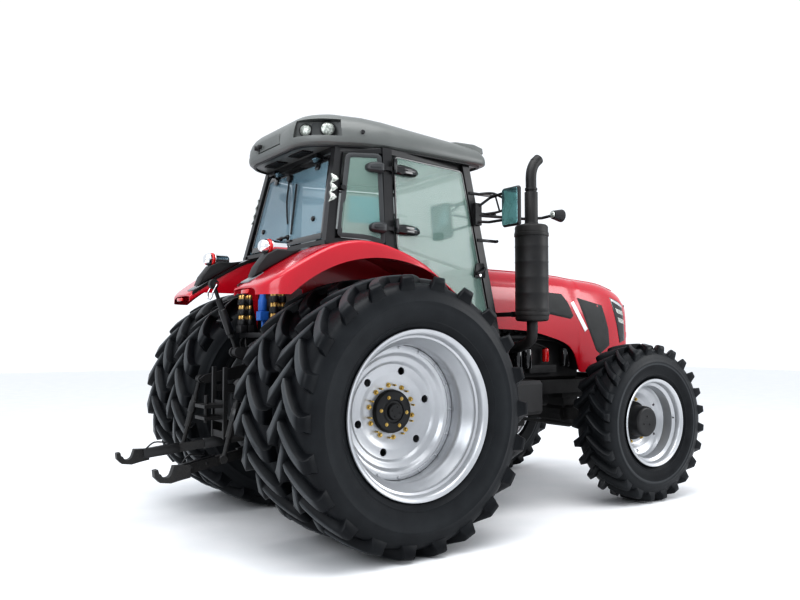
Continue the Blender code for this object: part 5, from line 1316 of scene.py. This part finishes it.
# ---------------------------------------------------------------- engine bay
# Below the hood the dark cast engine shows its cooling and fuel pipes, filters and belt
# cover, between the frame rails and their bolts.
cast_iron = finish("cast_iron", (0.014, 0.014, 0.015), (0.030, 0.030, 0.031), (0.50, 0.68), 180,
                   0.5, 6, dust=(0.25, 0.3, 1.3))
shells = []
for side in (1, -1):
    for i in range(6):
        x = 1.76 + 0.14 * i
        shells.append(spun([(0, 0), (0.034, 0), (0.038, 0.006), (0.038, 0.02), (0.030, 0.026),
                            (0, 0.026)], (x, side * 0.271, 1.50), (0, side, 0), 20))
    shells.append(tube([(1.70, side * 0.30, 1.42), (1.95, side * 0.315, 1.43),
                        (2.60, side * 0.315, 1.43), (2.68, side * 0.29, 1.40)], 0.026, 14))
    for i in range(6):
        x = 1.78 + 0.14 * i
        shells.append(tube([(x, side * 0.272, 1.47), (x, side * 0.315, 1.45)], 0.020, 12))
    shells.append(box((2.02, 2.36), (side * 0.272, side * 0.325), (1.10, 1.17)))
    shells.append(box((2.60, 2.68), (side * 0.272, side * 0.36), (1.12, 1.34)))
piece("engine_fittings", shells, cast_iron, "chassis", bevel=0.004, segments=3)
shells = []
for side in (1, -1):
    for x, z in ((1.86, 1.14), (1.98, 1.14), (2.46, 1.15)):
        shells.append(spun([(0, 0.19), (0.020, 0.19), (0.044, 0.18), (0.048, 0.17),
                            (0.048, 0.02), (0.044, 0.005), (0, 0.0)], (x, side * 0.33, z),
                           (0, 0, 1), 28))
piece("engine_filters", shells, gloss_black, "chassis", bevel=0.001)
shells = [spun([(0, 0.13), (0.016, 0.13), (0.030, 0.12), (0.032, 0.11), (0.032, 0.01),
                (0.026, 0.0), (0, 0.0)], (2.22, side * 0.325, 1.20), (0, 0, 1), 24)
          for side in (1, -1)]
piece("fuel_bowl", shells, red_glass, "chassis", bevel=0.001)
pipes = []
for side in (1, -1):
    y = side * 0.335
    pipes += [tube([(1.86, y, 1.33), (1.88, y * 1.06, 1.38), (2.05, y * 1.06, 1.37),
                    (2.21, y, 1.33)], 0.009, 10),
              tube([(1.98, y, 1.33), (2.04, y * 1.08, 1.40), (2.30, y * 1.08, 1.39),
                    (2.45, y, 1.34)], 0.007, 10),
              tube([(2.46, y, 1.34), (2.52, y * 1.05, 1.42), (2.60, side * 0.30, 1.50)], 0.013,
                   10),
              tube([(1.42, side * 0.36, 1.08), (1.60, side * 0.37, 1.10),
                    (1.80, side * 0.34, 1.14)], 0.012, 10)]
piece("engine_hoses", pipes, hose_black, "chassis")
shells = []
for side in (1, -1):
    for x in (1.56, 1.64, 2.02, 2.10, 2.30, 2.38, 2.86, 2.92, 2.98, 3.04):
        for z in (0.935, 0.995):
            shells += bolts((x, side * 0.2705, z), (0, side, 0), 0, 1, 0.012, 0.010)
piece("frame_bolts", shells, zinc, "chassis")

# ---------------------------------------------------------------- inside the cab
# A sprung seat in black hard-wearing cloth over foam, a soft-rimmed steering wheel on its
# column, and moulded consoles with levers.
seat_cloth = finish("seat_cloth", (0.018, 0.018, 0.020), (0.040, 0.040, 0.043), (0.72, 0.88), 700,
                    0.6, 18)


def pad_shell(x, y, z, pull):
    """A block whose sides draw in between its corners."""
    rings = []
    steps = 8
    for k in range(steps + 1):
        t = k / steps
        rise = z[0] + (z[1] - z[0]) * t
        swell = math.sin(math.pi * t)
        ring = []
        for a, b in ((x[0], y[0]), (x[1], y[0]), (x[1], y[1]), (x[0], y[1])):
            middle = ((x[0] + x[1]) / 2, (y[0] + y[1]) / 2)
            ring.append((a + (middle[0] - a) * pull * (1 - swell),
                         b + (middle[1] - b) * pull * (1 - swell), rise))
        rings.append(ring)
    return lofted(rings)


def cushion(name, shells, cap, stands_for=()):
    """Stuffed cloth: a cloth run moves the shape, and no point goes further than cap."""
    pad = piece(name, shells, seat_cloth, "chassis", stands_for=stands_for)
    grid = pad.modifiers.new("Grid", "REMESH")
    grid.mode = "VOXEL"
    grid.voxel_size = 0.0095
    view = bpy.context.evaluated_depsgraph_get()
    pad.data = bpy.data.meshes.new_from_object(pad.evaluated_get(view))
    pad.modifiers.clear()
    start = [v.co.copy() for v in pad.data.vertices]
    cloth = pad.modifiers.new("Stuffing", "CLOTH")
    cloth.settings.use_pressure = True
    cloth.settings.uniform_pressure_force = 4
    cloth.settings.effector_weights.gravity = 0
    for step in range(1, 21):
        bpy.context.scene.frame_set(step)
    view = bpy.context.evaluated_depsgraph_get()
    blown = pad.evaluated_get(view).to_mesh()
    ends = [v.co.copy() for v in blown.vertices]
    pad.modifiers.clear()
    bpy.context.scene.frame_set(1)
    for vertex, was, now in zip(pad.data.vertices, start, ends):
        move = now - was
        vertex.co = was + (move * (cap / move.length) if move.length > cap else move)
    pad.data.materials.clear()
    pad.data.materials.append(seat_cloth)
    for face in pad.data.polygons:
        face.use_smooth = True
    pad.modifiers.new("Round", "SUBSURF").levels = 1
    pad.modifiers["Round"].render_levels = 1
    return pad


cushion("seat_pads", [pad_shell((0.15, 0.63), (-0.235, 0.235), (1.655, 1.745), 0.05),
                      pad_shell((0.055, 0.165), (-0.215, 0.215), (1.76, 2.12), 0.06),
                      pad_shell((0.065, 0.155), (-0.14, 0.14), (2.125, 2.30), 0.06)], 0.008,
        ("operator_seat",))
sewn = [tube([(x, -0.225, 1.752), (x, -0.1, 1.757), (x, 0.1, 1.757), (x, 0.225, 1.752)], 0.0035, 8)
        for x in (0.30, 0.46)]
sewn += [tube([(0.172, y, 1.80), (0.177, y, 1.95), (0.172, y, 2.09)], 0.0035, 8)
         for y in (-0.12, 0.12)]
piece("seat_seams", sewn, gloss_black, "chassis")
CENTRE, LEAN = Vector((0.90, 0, 2.0)), math.radians(30)
up = Vector((-math.sin(LEAN), 0, math.cos(LEAN)))
ahead = Vector((math.cos(LEAN), 0, math.sin(LEAN)))
rim = [(0.19 + 0.013 * math.cos(math.tau * a / 14), 0.013 * math.sin(math.tau * a / 14))
       for a in range(14)]
shells = [spun(rim, CENTRE, up, 56, loop=True),
          spun([(0, 0.018), (0.030, 0.016), (0.042, 0.006), (0.044, -0.02), (0.036, -0.028),
                (0, -0.028)], CENTRE, up, 32)]
for turn in (90, 210, 330):
    reach = ahead * math.cos(math.radians(turn)) + Vector((0, 1, 0)) * math.sin(
        math.radians(turn))
    shells.append(tube([CENTRE + reach * 0.03 - up * 0.008, CENTRE + reach * 0.10 - up * 0.012,
                        CENTRE + reach * 0.185], 0.011, 12))
piece("wheel_rim", shells, black_plastic, "steering_wheel",
      stands_for=("steering_wheel",))
levers = []
for x, y, high in ((0.72, -0.34, 0.16), (0.66, -0.40, 0.12), (0.58, -0.42, 0.10)):
    levers.append(tube([(x, y, 1.735), (x + 0.01, y, 1.74 + high * 0.6), (x + 0.03, y,
                                                                        1.74 + high)], 0.008, 10))
    levers.append(spun([(0, 0), (0.012, 0.003), (0.019, 0.018), (0.019, 0.04), (0.012, 0.055),
                        (0, 0.058)], (x + 0.03, y, 1.735 + high), (0.1, 0, 1), 24))
levers.append(prism([(1.03, 1.80), (1.17, 1.80), (1.15, 1.90), (1.08, 1.90)], "XZ", -0.15, 0.15))
piece("levers", levers, black_plastic, "chassis", bevel=0.003)

# ---------------------------------------------------------------- castings and cab steel
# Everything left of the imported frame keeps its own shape: cast iron, painted steel and
# moulded plastic, with edges eased and dust from the yard low down.
dusty_black = finish("dusty_black", (0.012, 0.012, 0.013), (0.024, 0.024, 0.025), (0.40, 0.58),
                     130, 0.2, 5, dust=(0.35, 0.2, 1.2))
tank_black = finish("tank_plastic", (0.014, 0.014, 0.015), (0.022, 0.022, 0.023), (0.42, 0.55),
                    300, 0.35, 3, dust=(0.3, 0.4, 1.1))
FINISHES = {
    cast_iron: ("engine_block", "gearbox_housing", "rear_axle_housing", "front_axle_beam",
                "front_frame"),
    dusty_black: ("front_knuckle_left", "front_knuckle_right", "tie_rod", "hitch_ladder",
                  "hood_stand", "lift_arms", "lift_rod_left", "lift_rod_right",
                  "lower_link_left", "lower_link_right", "top_link"),
    tank_black: ("fuel_tank_left", "battery_box_right"),
    frame_black: ("cab_frame", "cab_floor", "seat_base"),
    black_plastic: ("dash_console", "side_console", "mirror_left", "mirror_right",
                    "nose_grille"),
    rear_glass: ("rear_window",),
    side_glass: ("windshield",),
}
for material, names in FINISHES.items():
    for name in names:
        solid = bpy.data.objects[name]
        solid.data.materials.clear()
        solid.data.materials.append(material)
        if "glass" in material.name:
            continue
        joined = solid.modifiers.new("Joined", "WELD")
        joined.merge_threshold = 0.0002
        eased = solid.modifiers.new("Eased", "BEVEL")
        eased.width = 0.003
        eased.segments = 2
        eased.limit_method = "ANGLE"
        eased.angle_limit = math.radians(35)
        eased.harden_normals = True
low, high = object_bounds()
